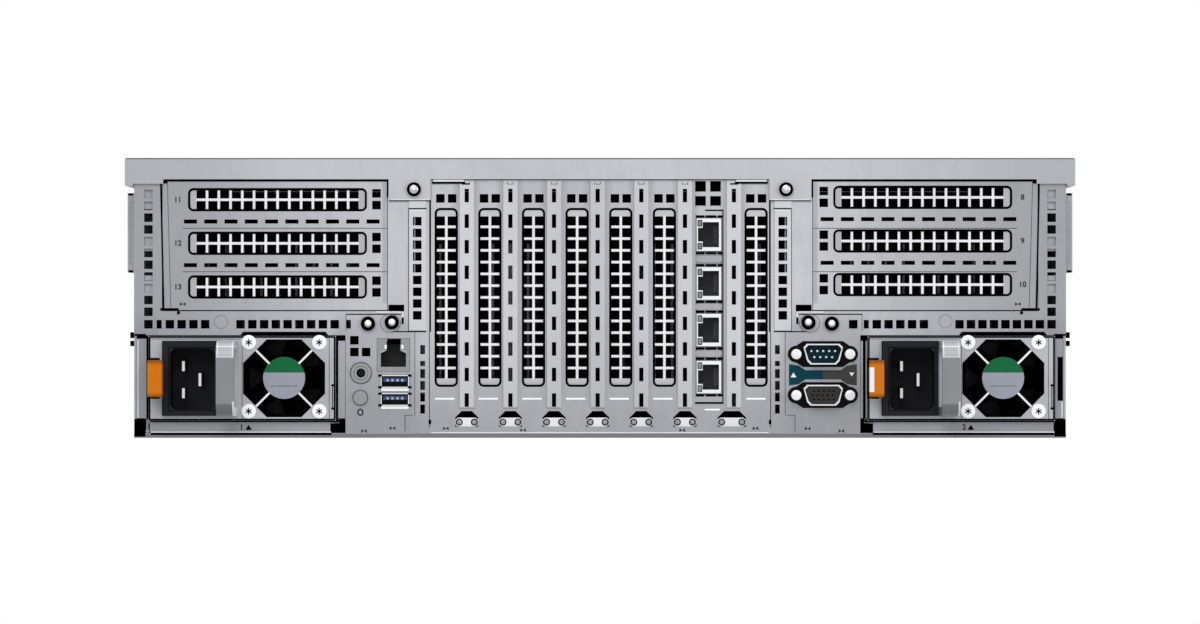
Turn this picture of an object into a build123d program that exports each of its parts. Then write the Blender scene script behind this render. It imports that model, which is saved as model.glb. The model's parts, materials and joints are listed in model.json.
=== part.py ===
from build123d import *
import os
from math import cos, radians, sin

# Three-unit rack server, seen from its rear. Millimetres, +Z up.
# The rear wall faces -Y, and depths are measured from the rear wall's outer face.
# The origin is in the middle of the whole outline, at floor level.

# Body and sheet
body_w = 434.0
height = 130.3
body_len = 772.0
front_reach = 14.0
handle_reach = 34.0
sheet = 1.2
hem_h = 2.2
seat = 0.3
fit = 0.06
seam = 0.2
wall_y = -(handle_reach + body_len + front_reach) / 2 + handle_reach
front_y = wall_y + body_len
top_z = height - sheet
inner_x = body_w / 2 - sheet

# Perforation: square holes in rows
hole = 4.0
hole_pitch = 5.48
half_hole = 2.4

# Card slots at the standard spacing
slot_pitch = 20.32
slot_open_w = 10.9
slot_open_l = 83.4
slot_corner = 0.9
blank_w = 14.0
blank_l = 86.0
blank_t = 1.0
blank_tab = 11.0
blank_rows = 14

# Slot bracket: upright slots from left to right, and the ribs between them
first_slot_x = -71.6
upright_slots = 6
last_slot_x = 72.7
slot_mid_z = 65.4
card_x = 50.7
bracket_half = 79.5
rib_offset = 9.55
last_rib_x = 62.35
rib_slot_w = 2.0
rib_slot_h = 6.3
rib_slot_pitch = 11.9
rib_slot_rows = 9
rib_top_z = 112.8
rib_w = 6.6
rib_z0 = 13.9
rib_z1 = 119.4
emboss = 0.5
top_pair_z = 111.5
card_vent = 5.0
card_vent_x = 50.3
card_vent_z = 113.6
card_vent_step = 3.5
card_window_w = 12.4
card_margin_z = 1.0
arch_w = 10.8
last_arch_x = 61.4
last_arch_w = 13.2
arch_z = 5.1
arch_h = 7.4
arch_cut = 3.0

# Squares and slots beside the windows
side_row_x = 210.3
side_row_z = 86.1
side_row_count = 11
low_row_z = 52.9
low_row_pitch = 5.35
low_rows_left = [(-200.3, 4, hole_pitch), (-167.4, 9, hole_pitch)]
low_rows_right = [(117.9, 1, hole_pitch), (128.9, 5, hole_pitch), (167.4, 8, low_row_pitch)]
low_halves_left = [-205.3, -117.2]
low_halves_right = [124.0]
strip_x = 85.1
strip_w = 7.8
strip_top_z = 100.9
strip_count = 9
strip_z0 = 49.9
strip_z1 = 110.3
port_pair_x = -114.4
port_pair_z = 42.7
tall_x = 82.6
tall_w = 2.2
tall_slots = [(41.1, 4.2), (34.6, 2.4), (29.9, 4.2), (24.4, 4.2), (19.0, 4.2), (13.4, 4.2)]

# Side groups of three level slots
riser_w = 104.6
riser_h = 60.0
riser_z = 59.3
riser_left_x = -151.4
riser_right_x = 151.5
riser_slots = 3
riser_top_slot_left = 110.9
riser_top_slot_right = 112.0
riser_slot_shift = 1.2
riser_len = 234.0
riser_pair_in = 5.0
riser_pair_up = 0.2
vent_slot_w = 6.1
vent_slot_h = 1.9
vent_slot_pitch = 9.45
vent_slots = 10
vent_shift = 3.2

# Power supplies and the bays that they slide in
psu_w = 87.0
psu_h = 39.3
psu_len = 185.0
psu_z = 8.1
psu_proud = 3.0
psu_left_x = -166.5
psu_right_x = 168.1
psu_wall = 1.2
room_gap = 0.2
bay_wall = 1.0
bay_gap = 0.4
bay_side_z0 = 9.1
bay_side_z1 = 46.6
bay_low_out = 0.8
bay_low_in = 3.0
port_edge_left = 118.5
port_edge_right = 121.2
fan_arch_rise = 1.2
fan_arch_ramp = 5.0
tongue_w = 56.0
tongue_len = 8.0
tongue_up = 10.0
tongue_t = 1.6

# Inlet, handle and latch of a power supply, from its left edge
inlet_x0 = 6.4
inlet_w = 26.4
inlet_h = 34.8
inlet_proud = 2.0
inlet_deep = 24.0
recess_w = 20.8
recess_h = 28.6
recess_deep = 20.0
recess_right = 0.9
recess_down = 0.3
recess_cut = 2.0
blade_len = 13.0
blade_t = 2.0
blade_places = [(-4.6, 5.9, 4.8), (-4.6, -6.7, 4.8), (3.1, -0.4, 6.0)]
handle_x0 = 33.1
handle_w = 8.2
handle_bar = 4.2
handle_corner = 8.0
latch_w = 6.6
latch_h = 17.0
latch_head = 10.0
latch_head_gap = 2.0
latch_edge = 0.4
latch_stem = 2.2
latch_pin_r = 1.6
latch_pin_x = 2.2
latch_pin_deep = 14.0
latch_pin_over = 2.0
latch_room_w = 5.2
latch_room_deep = 18.0
latch_room_over = 1.0

# Small fan of a power supply
psu_fan_x0 = 43.4
psu_fan_w = 39.2
psu_fan_h = 37.2
psu_fan_len = 28.0
psu_fan_bore_r = 17.9
psu_fan_hub_r = 10.1
psu_fan_cut = 11.0
psu_fan_lip = 0.5
psu_fan_base_t = 2.4
psu_fan_pin_r = 1.2
psu_fan_pin_l = 14.0
psu_fan_free = 4.0
fan_gap = 0.8
hub_inset = 1.0

# Main fans
fan_count = 3
fan_size = 120.0
fan_len = 38.0
fan_pitch = 140.0
fan_bore_r = 57.5
fan_hub_r = 22.0
fan_hub_inset = 2.0
fan_base_t = 5.0
fan_pin_r = 2.5
fan_pin_l = 19.0
fan_depth = 480.0
fan_cage_over = 3.0
blade_count = 5
blade_pitch = 38.0
blade_share = 0.8
blade_thin = 0.4
blade_taper = 0.03
spoke_t = 1.2
weld = 1.0
duct_facets = 32
hub_facets = 20
screw_facets = 16
pin_facets = 8

# Sockets in the rear wall
socket_gap = 0.15
port_len = 20.0
rj_w = 15.1
rj_h = 11.4
rj_open_w = 11.7
rj_open_h = 7.6
rj_notch_w = 6.4
rj_notch_h = 2.2
rj_deep = 14.0
rj_lip = 1.0
rj_floor = 2.0
card_jack_zs = [94.6, 71.9, 50.2, 28.3]
jack_proud = 0.5
mgmt_x = -96.2
mgmt_z = 38.6
mgmt_proud = 0.2
usb_x = -95.5
usb_zs = [26.3, 17.9]
usb_w = 13.3
usb_h = 6.0
usb_wall = 0.5
usb_len = 14.0
usb_deep = 12.0
usb_tongue = 1.9
usb_tongue_side = 0.7
usb_tongue_top = 0.8
usb_tongue_back = 0.8
dsub_x = 103.8
serial_z = 39.0
vga_z = 19.9
dsub_open_w = 18.6
dsub_open_h = 12.1
dsub_lobe_r = 3.9
dsub_rim = 0.8
dsub_len = 12.0
dsub_shell_w = 18.2
dsub_shell_h = 9.6
dsub_slope = 1.6
dsub_wall = 0.6
dsub_proud = 5.8
dsub_screw_x = 12.5
dsub_post_r = 2.4
dsub_post_back = 1.2
serial_deep = 6.2
vga_deep = 0.8
ring_x = -111.3
ring_z = 30.2
ring_r = 5.0
ring_bore_r = 1.7
ring_len = 12.0
ring_deep = 9.5
button_x = -111.6
button_z = 18.7
button_r = 3.2
button_proud = 1.5
button_collar = 1.2
screw_head_r = 3.1
screw_head_t = 1.4
screw_r = 1.5
screw_gap = 0.2
screw_len = 6.0
left_screws = [(-108.0, 53.2), (-96.9, 53.8)]
right_screws = [(97.0, 53.8), (107.9, 53.2)]

# Cover
cover_w = 442.4
cover_flange = 13.2
cover_fold_r = 1.0
band_h = 9.9
band_end_x = 203.3
tab_mid_x = 88.6
tab_w = 19.6
tab_z = 110.7
cover_screw_x = 86.6
cover_screw_z = 115.7
lever_depth = 350.0
lever_len = 96.0
lever_w = 40.0
lever_t = 3.0
lever_side = 0.6
lever_under = 1.2
lever_lip = 3.0
lever_pin_r = 2.0
lever_pin_down = 4.6
lever_pin_out = 0.8
lever_barrel_r = 3.0
pocket_h = 9.0
pocket_wall = 1.0
pocket_rear = 4.0
pocket_front = 5.0

# Rails and rack ears
rail_t = 3.2
rail_z0 = 77.0
rail_h = 37.0
rail_lip = 4.0
rail_start = 3.0
ear_w = 482.0
ear_t = 2.0
ear_leg = 40.0
ear_low = 2.0
ear_leg_up = 3.0
rack_holes_x = 465.1
rack_holes_z = 57.15
rack_slot_l = 10.3
rack_slot_d = 6.8
block_w = 8.4
block_reach = 10.0
block_z = 20.0
power_button_z = 92.0
power_button_wall = 2.0

# Boards and what stands on them
board_t = 1.6
board_z = 7.4
board_start = 4.0
board_side = 3.0
rear_board_w = 232.0
rear_board_end = 186.0
board_gap = 10.0
standoff_r = 3.2
standoff_in = 20.0
standoff_x = 60.0
standoff_start = 30.0
socket_w = 7.6
socket_h = 11.0
socket_l = 89.0
groove_deep = 7.0
groove_gap = 0.1
edge_gap = 0.5
edge_short = 2.0
socket_depth = 62.0
socket_drop = 5.5
socket_beside = 7.0
riser_board_back = 20.0
riser_board_short = 10.0
riser_board_top = 2.0
slit_over = 1.0
card_len = 168.0
card_over = 6.0
card_right = 1.0
card_side = 1.2
power_socket_w = 68.0
power_socket_l = 14.0
power_socket_over = 6.0
power_socket_gap = 1.5
power_socket_deep = 9.0
power_socket_wide = 1.0
sink_count = 4
sink_w = 72.0
sink_l = 104.0
sink_h = 84.0
sink_base = 8.0
sink_plate = 6.0
sink_gap = 4.0
sink_depth = 250.0
package_w = 56.0
fin_count = 9
fin_t = 1.2
memory_groups = 3
memory_per_group = 4
memory_pitch = 8.0
memory_l = 133.0
memory_h = 31.0
memory_t = 1.4
memory_back = 14.0
memory_socket_h = 8.0
memory_socket_gap = 1.6
shroud_z = 112.0
shroud_wall = 1.6
shroud_side = 8.0
shroud_depth = 240.0
shroud_gap = 12.0

# Drives at the front
bay_count = 8
drive_count = 3
bay_pitch = 18.0
bay_h = 76.0
bay_z = 11.0
bay_sheet = 1.0
bay_foot = 3.0
plug_t = 2.5
plug_w = 6.0
plug_z0 = 20.0
plug_z1 = 50.0
tip_back = 2.0
carrier_w = bay_pitch - bay_sheet - 2 * seat
carrier_h = bay_h - 2 * seat
carrier_len = 126.0
carrier_wall = 1.5
carrier_room = 9.0
carrier_lip = 2.0
drive_part_gap = 0.3
drive_pin_r = 1.2
drive_pin_z = 8.5
drive_pin_back = 3.5
drive_knuckle = 2.2
drive_lever_h = 56.0
drive_lever_t = 2.0
lever_room_over = 6.0
lever_short = 4.0
button_room_gap = 1.5
drive_button_len = 6.0
drive_button_proud = 1.5
filler_back = 3.0
filler_proud = 2.0
filler_arm_l = 70.0
filler_arm_t = 2.0
grille_slot_w = 6.0
grille_slot_pitch = 14.0
grille_slot_h = 34.0
grille_margin = 34.0
grille_web = 4.0


# Places worked out from the sizes above

def depth(distance):
    """Y of a point this far in front of the rear wall's outer face."""
    return wall_y + distance


slot_xs = [first_slot_x + i * slot_pitch for i in range(upright_slots)] + [last_slot_x]
rib_xs = [x + rib_offset for x in slot_xs[:-1]] + [last_rib_x]
arches = [(x, arch_w) for x in rib_xs[:-1]] + [(last_arch_x, last_arch_w)]
card_top_z = card_jack_zs[0] + rj_w / 2
card_low_z = card_jack_zs[-1] - rj_w / 2
psu_xs = {"psu_left": psu_left_x, "psu_right": psu_right_x}
psu_mid_z = psu_z + psu_h / 2
psu_face = depth(-psu_proud)
bay_low = psu_z - bay_gap
bay_high = psu_z + psu_h + bay_gap
fan_xs = [(i - (fan_count - 1) / 2) * fan_pitch for i in range(fan_count)]
fan_mid_z = 2 * sheet + fan_size / 2
bay_xs = [(i - (bay_count - 1) / 2) * bay_pitch for i in range(bay_count)]
bay_mid_z = bay_z + bay_h / 2
cage_half = bay_count * bay_pitch / 2 + bay_sheet
riser_slots_left = [riser_top_slot_left - i * slot_pitch for i in range(riser_slots)]
riser_slots_right = [riser_top_slot_right - i * slot_pitch for i in range(riser_slots)]
board_top = board_z + board_t
board_end = fan_depth - board_gap
card_edge_z = board_top + socket_h - groove_deep + edge_gap
card_panel_z = board_top + socket_h + edge_short / 2
group_pitch = sink_w + memory_per_group * memory_pitch + sink_gap
drive_tip = front_y + front_reach - tip_back
drive_y0 = drive_tip - carrier_len - seat - plug_t
drive_low = bay_mid_z - carrier_h / 2
drive_high = bay_mid_z + carrier_h / 2
drive_part_half = carrier_w / 2 - carrier_wall - drive_part_gap
power_button_x = body_w / 2 + block_w / 2
memory_xs = [
    (group - (memory_groups - 1) / 2) * group_pitch + (i - (memory_per_group - 1) / 2) * memory_pitch
    for group in range(memory_groups)
    for i in range(memory_per_group)
]
pocket_x = lever_w / 2 + lever_side
lever_pin_y = depth(lever_depth + lever_len)
lever_pin_z = height - lever_pin_down
band_y = depth(-seat - sheet)


# Helpers

def block(x0, x1, y0, y1, z0, z1):
    """Block between two corners."""
    return Pos(x0, y0, z0) * Solid.make_box(x1 - x0, y1 - y0, z1 - z0)


def rod_y(x, z, radius, y0, y1):
    """Round rod along Y."""
    return Solid.make_cylinder(radius, y1 - y0, Plane(origin=(x, y0, z), z_dir=(0, 1, 0)))


def rod_x(y, z, radius, x0, x1):
    """Round rod along X."""
    return Solid.make_cylinder(radius, x1 - x0, Plane(origin=(x0, y, z), z_dir=(1, 0, 0)))


def rod_z(x, y, radius, z0, z1):
    """Round rod along Z."""
    return Solid.make_cylinder(radius, z1 - z0, Plane(origin=(x, y, z0), z_dir=(0, 0, 1)))


def outline(points):
    """Closed outline in the wall's plane."""
    return Wire.make_polygon([(x, 0, z) for x, z in points], close=True)


def window(x, z, w, h):
    """Rectangular outline about its middle."""
    a, b = w / 2, h / 2
    return outline([(x - a, z - b), (x + a, z - b), (x + a, z + b), (x - a, z + b)])


def octagon(x, z, w, h, cut):
    """Rectangle with its corners cut off."""
    a, b = w / 2, h / 2
    return [(x - a + cut, z - b), (x + a - cut, z - b), (x + a, z - b + cut), (x + a, z + b - cut),
            (x + a - cut, z + b), (x - a + cut, z + b), (x - a, z + b - cut), (x - a, z - b + cut)]


def facet_ring(x, z, radius, sides):
    """Round outline made of flats, for rings that repeat."""
    angles = [radians((i + 0.5) * 360 / sides) for i in range(sides)]
    return outline([(x + radius * cos(a), z + radius * sin(a)) for a in angles])


def ring(x, z, radius):
    """Round outline."""
    return Wire.make_circle(radius, Plane(origin=(x, 0, z), z_dir=(0, -1, 0)))


def slot_ring(x, z, length, dia):
    """Level slot with round ends."""
    reach, r = (length - dia) / 2, dia / 2
    low_left, low_right = (x - reach, 0, z - r), (x + reach, 0, z - r)
    top_left, top_right = (x - reach, 0, z + r), (x + reach, 0, z + r)
    return Wire([
        Edge.make_line(low_left, low_right),
        Edge.make_three_point_arc(low_right, (x + reach + r, 0, z), top_right),
        Edge.make_line(top_right, top_left),
        Edge.make_three_point_arc(top_left, (x - reach - r, 0, z), low_left),
    ])


def sheet_y(outer, holes, y0, y1):
    """Flat sheet facing the rear, with holes right through it."""
    return Pos(0, y0, 0) * Solid.extrude(Face(outer, holes), (0, y1 - y0, 0))


def profile_y(points, y0, y1):
    """Outline in X and Z, pushed along Y."""
    return sheet_y(outline(points), [], y0, y1)


def facet_rod(x, z, radius, y0, y1, sides):
    """Rod along Y with flats round it."""
    return sheet_y(facet_ring(x, z, radius, sides), [], y0, y1)


def squares(x, z, columns, rows):
    """Square holes in a grid about its middle."""
    return [
        window(x + (i - (columns - 1) / 2) * hole_pitch, z + (j - (rows - 1) / 2) * hole_pitch, hole, hole)
        for i in range(columns)
        for j in range(rows)
    ]


def join(first, *others):
    """One solid from pieces that touch."""
    return first.fuse(*others).clean().solids()[0]


def carve(body, *tools):
    """What is left of a solid after the tools are cut from it."""
    return body.cut(*tools).solids()[0]


def save(name, *solids):
    """Write one node of separate solids."""
    shape = solids[0] if len(solids) == 1 else Compound(list(solids))
    export_step(shape, f"parts/{name}.step")


# Sheet metal

def make_tray():
    """Floor and side walls folded from one sheet, a hem along the rear edge, and hex standoffs."""
    half = body_w / 2
    tray = profile_y([(-half, 0), (half, 0), (half, top_z), (inner_x, top_z), (inner_x, sheet),
                      (-inner_x, sheet), (-inner_x, top_z), (-half, top_z)], depth(sheet), front_y)
    hem = block(-half, half, depth(0), depth(sheet), 0, hem_h)
    rear_x, front_x = rear_board_w / 2 - standoff_in, inner_x - standoff_in
    places = [(rear_x, standoff_start), (rear_x, rear_board_end - standoff_in),
              (front_x, rear_board_end + standoff_in), (front_x, board_end - standoff_in),
              (standoff_x, (rear_board_end + board_end) / 2)]
    standoffs = [
        Pos(side * x, depth(d), sheet)
        * Solid.extrude(RegularPolygon(standoff_r, 6).face(), (0, 0, board_z - sheet))
        for side in (-1, 1)
        for x, d in places
    ]
    return join(tray, hem, *standoffs)


def square_rows(side, rows, halves):
    """Column of squares at the outer edge, and the row of squares above the power supply."""
    holes = squares(side * side_row_x, side_row_z, 1, side_row_count)
    holes += [window(side * side_row_x, low_row_z, hole, hole)]
    holes += [window(x + i * pitch, low_row_z, hole, hole) for x, count, pitch in rows for i in range(count)]
    holes += [window(x, low_row_z, half_hole, hole) for x in halves]
    holes += [window(side * tall_x, z, tall_w, h) for z, h in tall_slots]
    return holes


def dog_bone(z):
    """Opening for a D-shaped socket, with a round lobe for each of its two posts."""
    a, b, post, r = dsub_open_w / 2, dsub_open_h / 2, dsub_screw_x, dsub_lobe_r
    right = [(a, b), (post, r), (post, -r), (a, -b)]
    corners = [(dsub_x + x, 0, z + rise) for x, rise in right + [(-x, rise) for x, rise in reversed(right)]]
    edges = [Edge.make_line(corners[i], corners[(i + 1) % 8]) for i in (0, 2, 3, 4, 6, 7)]
    lobes = [
        Edge.make_three_point_arc(corners[1], (dsub_x + post + r, 0, z), corners[2]),
        Edge.make_three_point_arc(corners[5], (dsub_x - post - r, 0, z), corners[6]),
    ]
    return Wire([edges[0], lobes[0], edges[1], edges[2], edges[3], lobes[1], edges[4], edges[5]])


def left_ports():
    """Openings round the network, ring and stacked sockets, the button and the screws on the left."""
    gap = 2 * socket_gap
    holes = [window(mgmt_x, mgmt_z, rj_w + gap, rj_w + gap)]
    holes += [window(usb_x, z, usb_w + gap, usb_h + gap) for z in usb_zs]
    holes += [ring(ring_x, ring_z, ring_r + socket_gap), ring(button_x, button_z, button_r + fit)]
    holes += squares(port_pair_x, port_pair_z, 1, 2)
    holes += [window(port_pair_x + hole_pitch, port_pair_z - hole_pitch / 2, hole, hole)]
    return holes + [ring(x, z, screw_r + screw_gap) for x, z in left_screws]


def right_ports():
    """Openings round the two D-shaped sockets and the screws on the right."""
    holes = [dog_bone(z) for z in (serial_z, vga_z)]
    return holes + [ring(x, z, screw_r + screw_gap) for x, z in right_screws]


def make_rear_sheet(side, psu_x, port_edge, riser_x, holes):
    """One side of the rear wall, from the side wall to the slot bracket, cut out below for a power supply.
    Its lower edge rises in a shallow arch over the supply's fan, and a strip of squares stands proud."""
    half, notch = body_w / 2, screw_r + screw_gap
    fan_x0 = psu_x - psu_w / 2 + psu_fan_x0
    fan_x1 = fan_x0 + psu_fan_w
    arch = [(fan_x0, bay_high), (fan_x0 + fan_arch_ramp, bay_high + fan_arch_rise),
            (fan_x1 - fan_arch_ramp, bay_high + fan_arch_rise), (fan_x1, bay_high)]
    points = [(side * x, z) for x, z in (
        (half, bay_high), (half, top_z), (cover_screw_x + notch, top_z),
        (cover_screw_x + notch, cover_screw_z - notch), (cover_screw_x - notch, cover_screw_z - notch),
        (cover_screw_x - notch, top_z), (bracket_half, top_z), (bracket_half, hem_h), (port_edge, hem_h),
        (port_edge, bay_high))]
    points += arch if side > 0 else reversed(arch)
    strip_zs = [strip_top_z - i * hole_pitch for i in range(strip_count)]
    strip_holes = [window(side * strip_x, z, hole, hole) for z in strip_zs]
    riser_hole = window(riser_x, riser_z + riser_h / 2, riser_w + 2 * seat, riser_h + 2 * seat)
    wall = sheet_y(outline(points), [riser_hole] + holes + strip_holes, depth(0), depth(sheet))
    strip_edge = window(side * strip_x, (strip_z0 + strip_z1) / 2, strip_w, strip_z1 - strip_z0)
    strip = sheet_y(strip_edge, strip_holes, depth(-emboss), depth(0))
    return join(wall, strip)


def make_slot_bracket():
    """Centre sheet: slot windows between raised ribs with upright slots, and a row of arches at the foot."""
    holes = [h for x in slot_xs for h in squares(x, top_pair_z, 2, 1)]
    holes += [outline(octagon(x, slot_mid_z, slot_open_w, slot_open_l, slot_corner)) for x in slot_xs]
    holes += [window(card_x, (card_top_z + card_low_z) / 2, card_window_w,
                     card_top_z - card_low_z + 2 * card_margin_z)]
    holes += [window(card_vent_x + i * card_vent_step, card_vent_z + k * card_vent_step, card_vent, card_vent)
              for i in (-1, 1) for k in (-1, 1)]
    for x, w in arches:
        a, top = w / 2, arch_z + arch_h
        holes.append(outline([(x - a, arch_z), (x + a, arch_z), (x + a, top - arch_cut), (x + a - arch_cut, top),
                              (x - a + arch_cut, top), (x - a, top - arch_cut)]))
    rib_zs = [rib_top_z - i * rib_slot_pitch for i in range(rib_slot_rows)]
    rib_slots = {x: [window(x, z, rib_slot_w, rib_slot_h) for z in rib_zs] for x in rib_xs}
    holes += [slot for slots in rib_slots.values() for slot in slots]
    edge = window(0, (hem_h + top_z) / 2, 2 * bracket_half, top_z - hem_h)
    plate = sheet_y(edge, holes, depth(0), depth(sheet))
    ribs = [
        sheet_y(window(x, (rib_z0 + rib_z1) / 2, rib_w, rib_z1 - rib_z0), slots, depth(-emboss), depth(0))
        for x, slots in rib_slots.items()
    ]
    return join(plate, *ribs)


def make_riser_cage(x, slots, side):
    """Rear plate with three slot windows, an inner side wall and a floor; side is -1 on the left."""
    low, high = x - riser_w / 2, x + riser_w / 2
    inner = high if side < 0 else low
    middle = x - side * riser_slot_shift
    holes = [outline(octagon(middle, z, slot_open_l, slot_open_w, slot_corner)) for z in slots]
    for z in slots:
        holes += squares(inner + side * riser_pair_in, z + riser_pair_up, 1, 2)
    first_vent = x - side * vent_shift - vent_slot_pitch * (vent_slots - 1) / 2
    holes += [window(first_vent + i * vent_slot_pitch, z - slot_pitch / 2, vent_slot_w, vent_slot_h)
              for z in slots[:-1] for i in range(vent_slots)]
    plate = sheet_y(window(x, riser_z + riser_h / 2, riser_w, riser_h), holes, depth(0), depth(sheet))
    wall_x = sorted((inner, inner + side * sheet))
    wall = block(*wall_x, depth(sheet), depth(riser_len), riser_z, riser_z + riser_h)
    floor = block(low, high, depth(sheet), depth(riser_len), riser_z, riser_z + sheet)
    slit_x = sorted((inner + side * sheet, inner + side * (sheet + board_t + seat)))
    slit = block(*slit_x, depth(socket_depth - riser_board_back - slit_over),
                 depth(riser_len - riser_board_short + slit_over), riser_z, riser_z + sheet)
    return join(plate, wall, carve(floor, slit))


def blank(x, z, upright):
    """Perforated blank behind a slot window, with a bent tab at its outer end."""
    w, h = (blank_w, blank_l) if upright else (blank_l, blank_w)
    grid = squares(x, z, 2, blank_rows) if upright else squares(x, z, blank_rows, 2)
    back, reach = depth(sheet) + blank_t, depth(sheet) + blank_tab
    plate = sheet_y(window(x, z, w, h), grid, depth(sheet), back)
    if upright:
        tab = block(x - w / 2, x + w / 2, back, reach, z + h / 2 - blank_t, z + h / 2)
    else:
        end = x - w / 2 if x < 0 else x + w / 2 - blank_t
        tab = block(end, end + blank_t, back, reach, z - h / 2, z + h / 2)
    return join(plate, tab)


def make_blanks():
    """All perforated blanks, thirteen alike."""
    blanks = [blank(x, slot_mid_z, True) for x in slot_xs]
    blanks += [blank(riser_left_x + riser_slot_shift, z, False) for z in riser_slots_left]
    blanks += [blank(riser_right_x - riser_slot_shift, z, False) for z in riser_slots_right]
    return blanks


# Network card and sockets

def rj_socket(x, z, turned, wide, tall, proud):
    """Eight-pole socket; its latch notch points up, or to the left where the socket is turned."""
    y0, y1 = depth(-proud), depth(port_len)
    w, h = (tall, wide) if turned else (wide, tall)
    shell = block(x - w / 2, x + w / 2, y0, y1, z - h / 2, z + h / 2)
    if turned:
        right = x + w / 2 - rj_lip
        left = right - rj_open_h
        mouth = block(left, right, y0, y0 + rj_deep, z - rj_open_w / 2, z + rj_open_w / 2)
        notch = block(left - rj_notch_h, left, y0, y0 + rj_deep, z - rj_notch_w / 2, z + rj_notch_w / 2)
    else:
        low = z - h / 2 + rj_floor
        top = low + rj_open_h
        mouth = block(x - rj_open_w / 2, x + rj_open_w / 2, y0, y0 + rj_deep, low, top)
        notch = block(x - rj_notch_w / 2, x + rj_notch_w / 2, y0, y0 + rj_deep, top, top + 2 * rj_notch_h)
    return carve(shell, join(mouth, notch))


def make_network_card():
    """Bracket behind the wall, with windows for the sockets, and the upright board."""
    back = depth(sheet)
    low, high = card_low_z - card_over, card_top_z + card_over
    holes = [window(card_x, z, rj_h + seam, rj_w + seam) for z in card_jack_zs]
    outer = window(card_x + card_right, (low + high) / 2, blank_w + 2 * card_side, high - low)
    bracket = sheet_y(outer, holes, back, back + blank_t)
    board_x = card_x + rj_h / 2
    board = block(board_x, board_x + board_t, back + blank_t, depth(card_len), card_panel_z, high)
    edge = block(board_x, board_x + board_t, depth(socket_depth + edge_short),
                 depth(socket_depth + socket_l - edge_short), card_edge_z, card_panel_z)
    return join(bracket, board, edge)


def make_usb(z):
    """Folded shell with a tongue in its upper half."""
    half, y0 = usb_w / 2, depth(-jack_proud)
    shell = block(usb_x - half, usb_x + half, y0, depth(usb_len), z - usb_h / 2, z + usb_h / 2)
    hollow = block(usb_x - half + usb_wall, usb_x + half - usb_wall, y0, depth(usb_deep),
                   z - usb_h / 2 + usb_wall, z + usb_h / 2 - usb_wall)
    top = z + usb_h / 2 - usb_wall - usb_tongue_top
    reach = half - usb_wall - usb_tongue_side
    tongue = block(usb_x - reach, usb_x + reach, depth(usb_tongue_back), depth(usb_deep),
                   top - usb_tongue, top)
    return join(carve(shell, hollow), tongue)


def dsub_outline(z, inset):
    """D shape of the socket's shell: wider above than below."""
    a, b = dsub_shell_w / 2 - inset, dsub_shell_h / 2 - inset
    c = dsub_slope
    return [(dsub_x - a + 2 * c, z - b), (dsub_x + a - 2 * c, z - b), (dsub_x + a - c, z - b + c),
            (dsub_x + a, z + b - c), (dsub_x + a - c, z + b), (dsub_x - a + c, z + b),
            (dsub_x - a, z + b - c), (dsub_x - a + c, z - b + c)]


def dsub(z, deep):
    """D-shaped shell, hollow to this depth, and two screw posts, all on a flange behind the wall."""
    y0, y1 = depth(-dsub_proud), depth(sheet)
    half_w, half_h = dsub_screw_x + dsub_lobe_r + dsub_rim, dsub_open_h / 2 + dsub_rim
    flange = block(dsub_x - half_w, dsub_x + half_w, y1, depth(dsub_len), z - half_h, z + half_h)
    shell = carve(profile_y(dsub_outline(z, 0), y0, y1), profile_y(dsub_outline(z, dsub_wall), y0, y0 + deep))
    posts = [
        Pos(dsub_x + side * dsub_screw_x, y0 + dsub_post_back, z) * Rot(90, 0, 0)
        * Solid.extrude(RegularPolygon(dsub_post_r, 6).face(), (0, 0, y0 + dsub_post_back - y1))
        for side in (-1, 1)
    ]
    return join(flange, shell, *posts)


def make_ring_jack():
    """Round socket with a small bore."""
    y0 = depth(-jack_proud)
    barrel = rod_y(ring_x, ring_z, ring_r, y0, depth(ring_len))
    return carve(barrel, rod_y(ring_x, ring_z, ring_bore_r, y0, y0 + ring_deep))


def make_id_button():
    """Push button with a collar behind the wall."""
    collar_y = depth(sheet + seat)
    stem = rod_y(button_x, button_z, button_r, depth(-button_proud), collar_y)
    collar = facet_rod(button_x, button_z, button_r + button_collar, collar_y, collar_y + button_collar,
                       screw_facets)
    return join(stem, collar)


def screw(x, z, y_seat):
    """Captive screw with its head on a sheet at this depth."""
    head = facet_rod(x, z, screw_head_r, y_seat - screw_head_t, y_seat, screw_facets)
    return join(head, facet_rod(x, z, screw_r, y_seat, y_seat + screw_len, pin_facets))


# Power supplies

def make_bay(side, x, port_edge):
    """Sheet tunnel on two legs, in which a power supply slides, with flanges round its mouth."""
    half = psu_w / 2 + bay_gap
    outer = half + bay_wall
    tunnel = profile_y([(x - outer, sheet), (x - half, sheet), (x - half, bay_low - bay_wall),
                        (x + half, bay_low - bay_wall), (x + half, sheet), (x + outer, sheet),
                        (x + outer, bay_high + bay_wall), (x - outer, bay_high + bay_wall)],
                       depth(sheet), depth(psu_len - psu_proud))
    hollow = block(x - half, x + half, depth(sheet), depth(psu_len - psu_proud), bay_low, bay_high)
    spans = [sorted((x + side * half, side * (inner_x - seam))),
             sorted((x - side * half, side * (port_edge + seam)))]
    flanges = [block(*span, depth(0), depth(sheet), bay_side_z0, bay_side_z1) for span in spans]
    low_x = sorted((x + side * (half - bay_low_out), x - side * (half - bay_low_in)))
    flanges.append(block(*low_x, depth(0), depth(sheet), hem_h + seam, bay_low))
    return join(carve(tunnel, hollow), *flanges)


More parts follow.
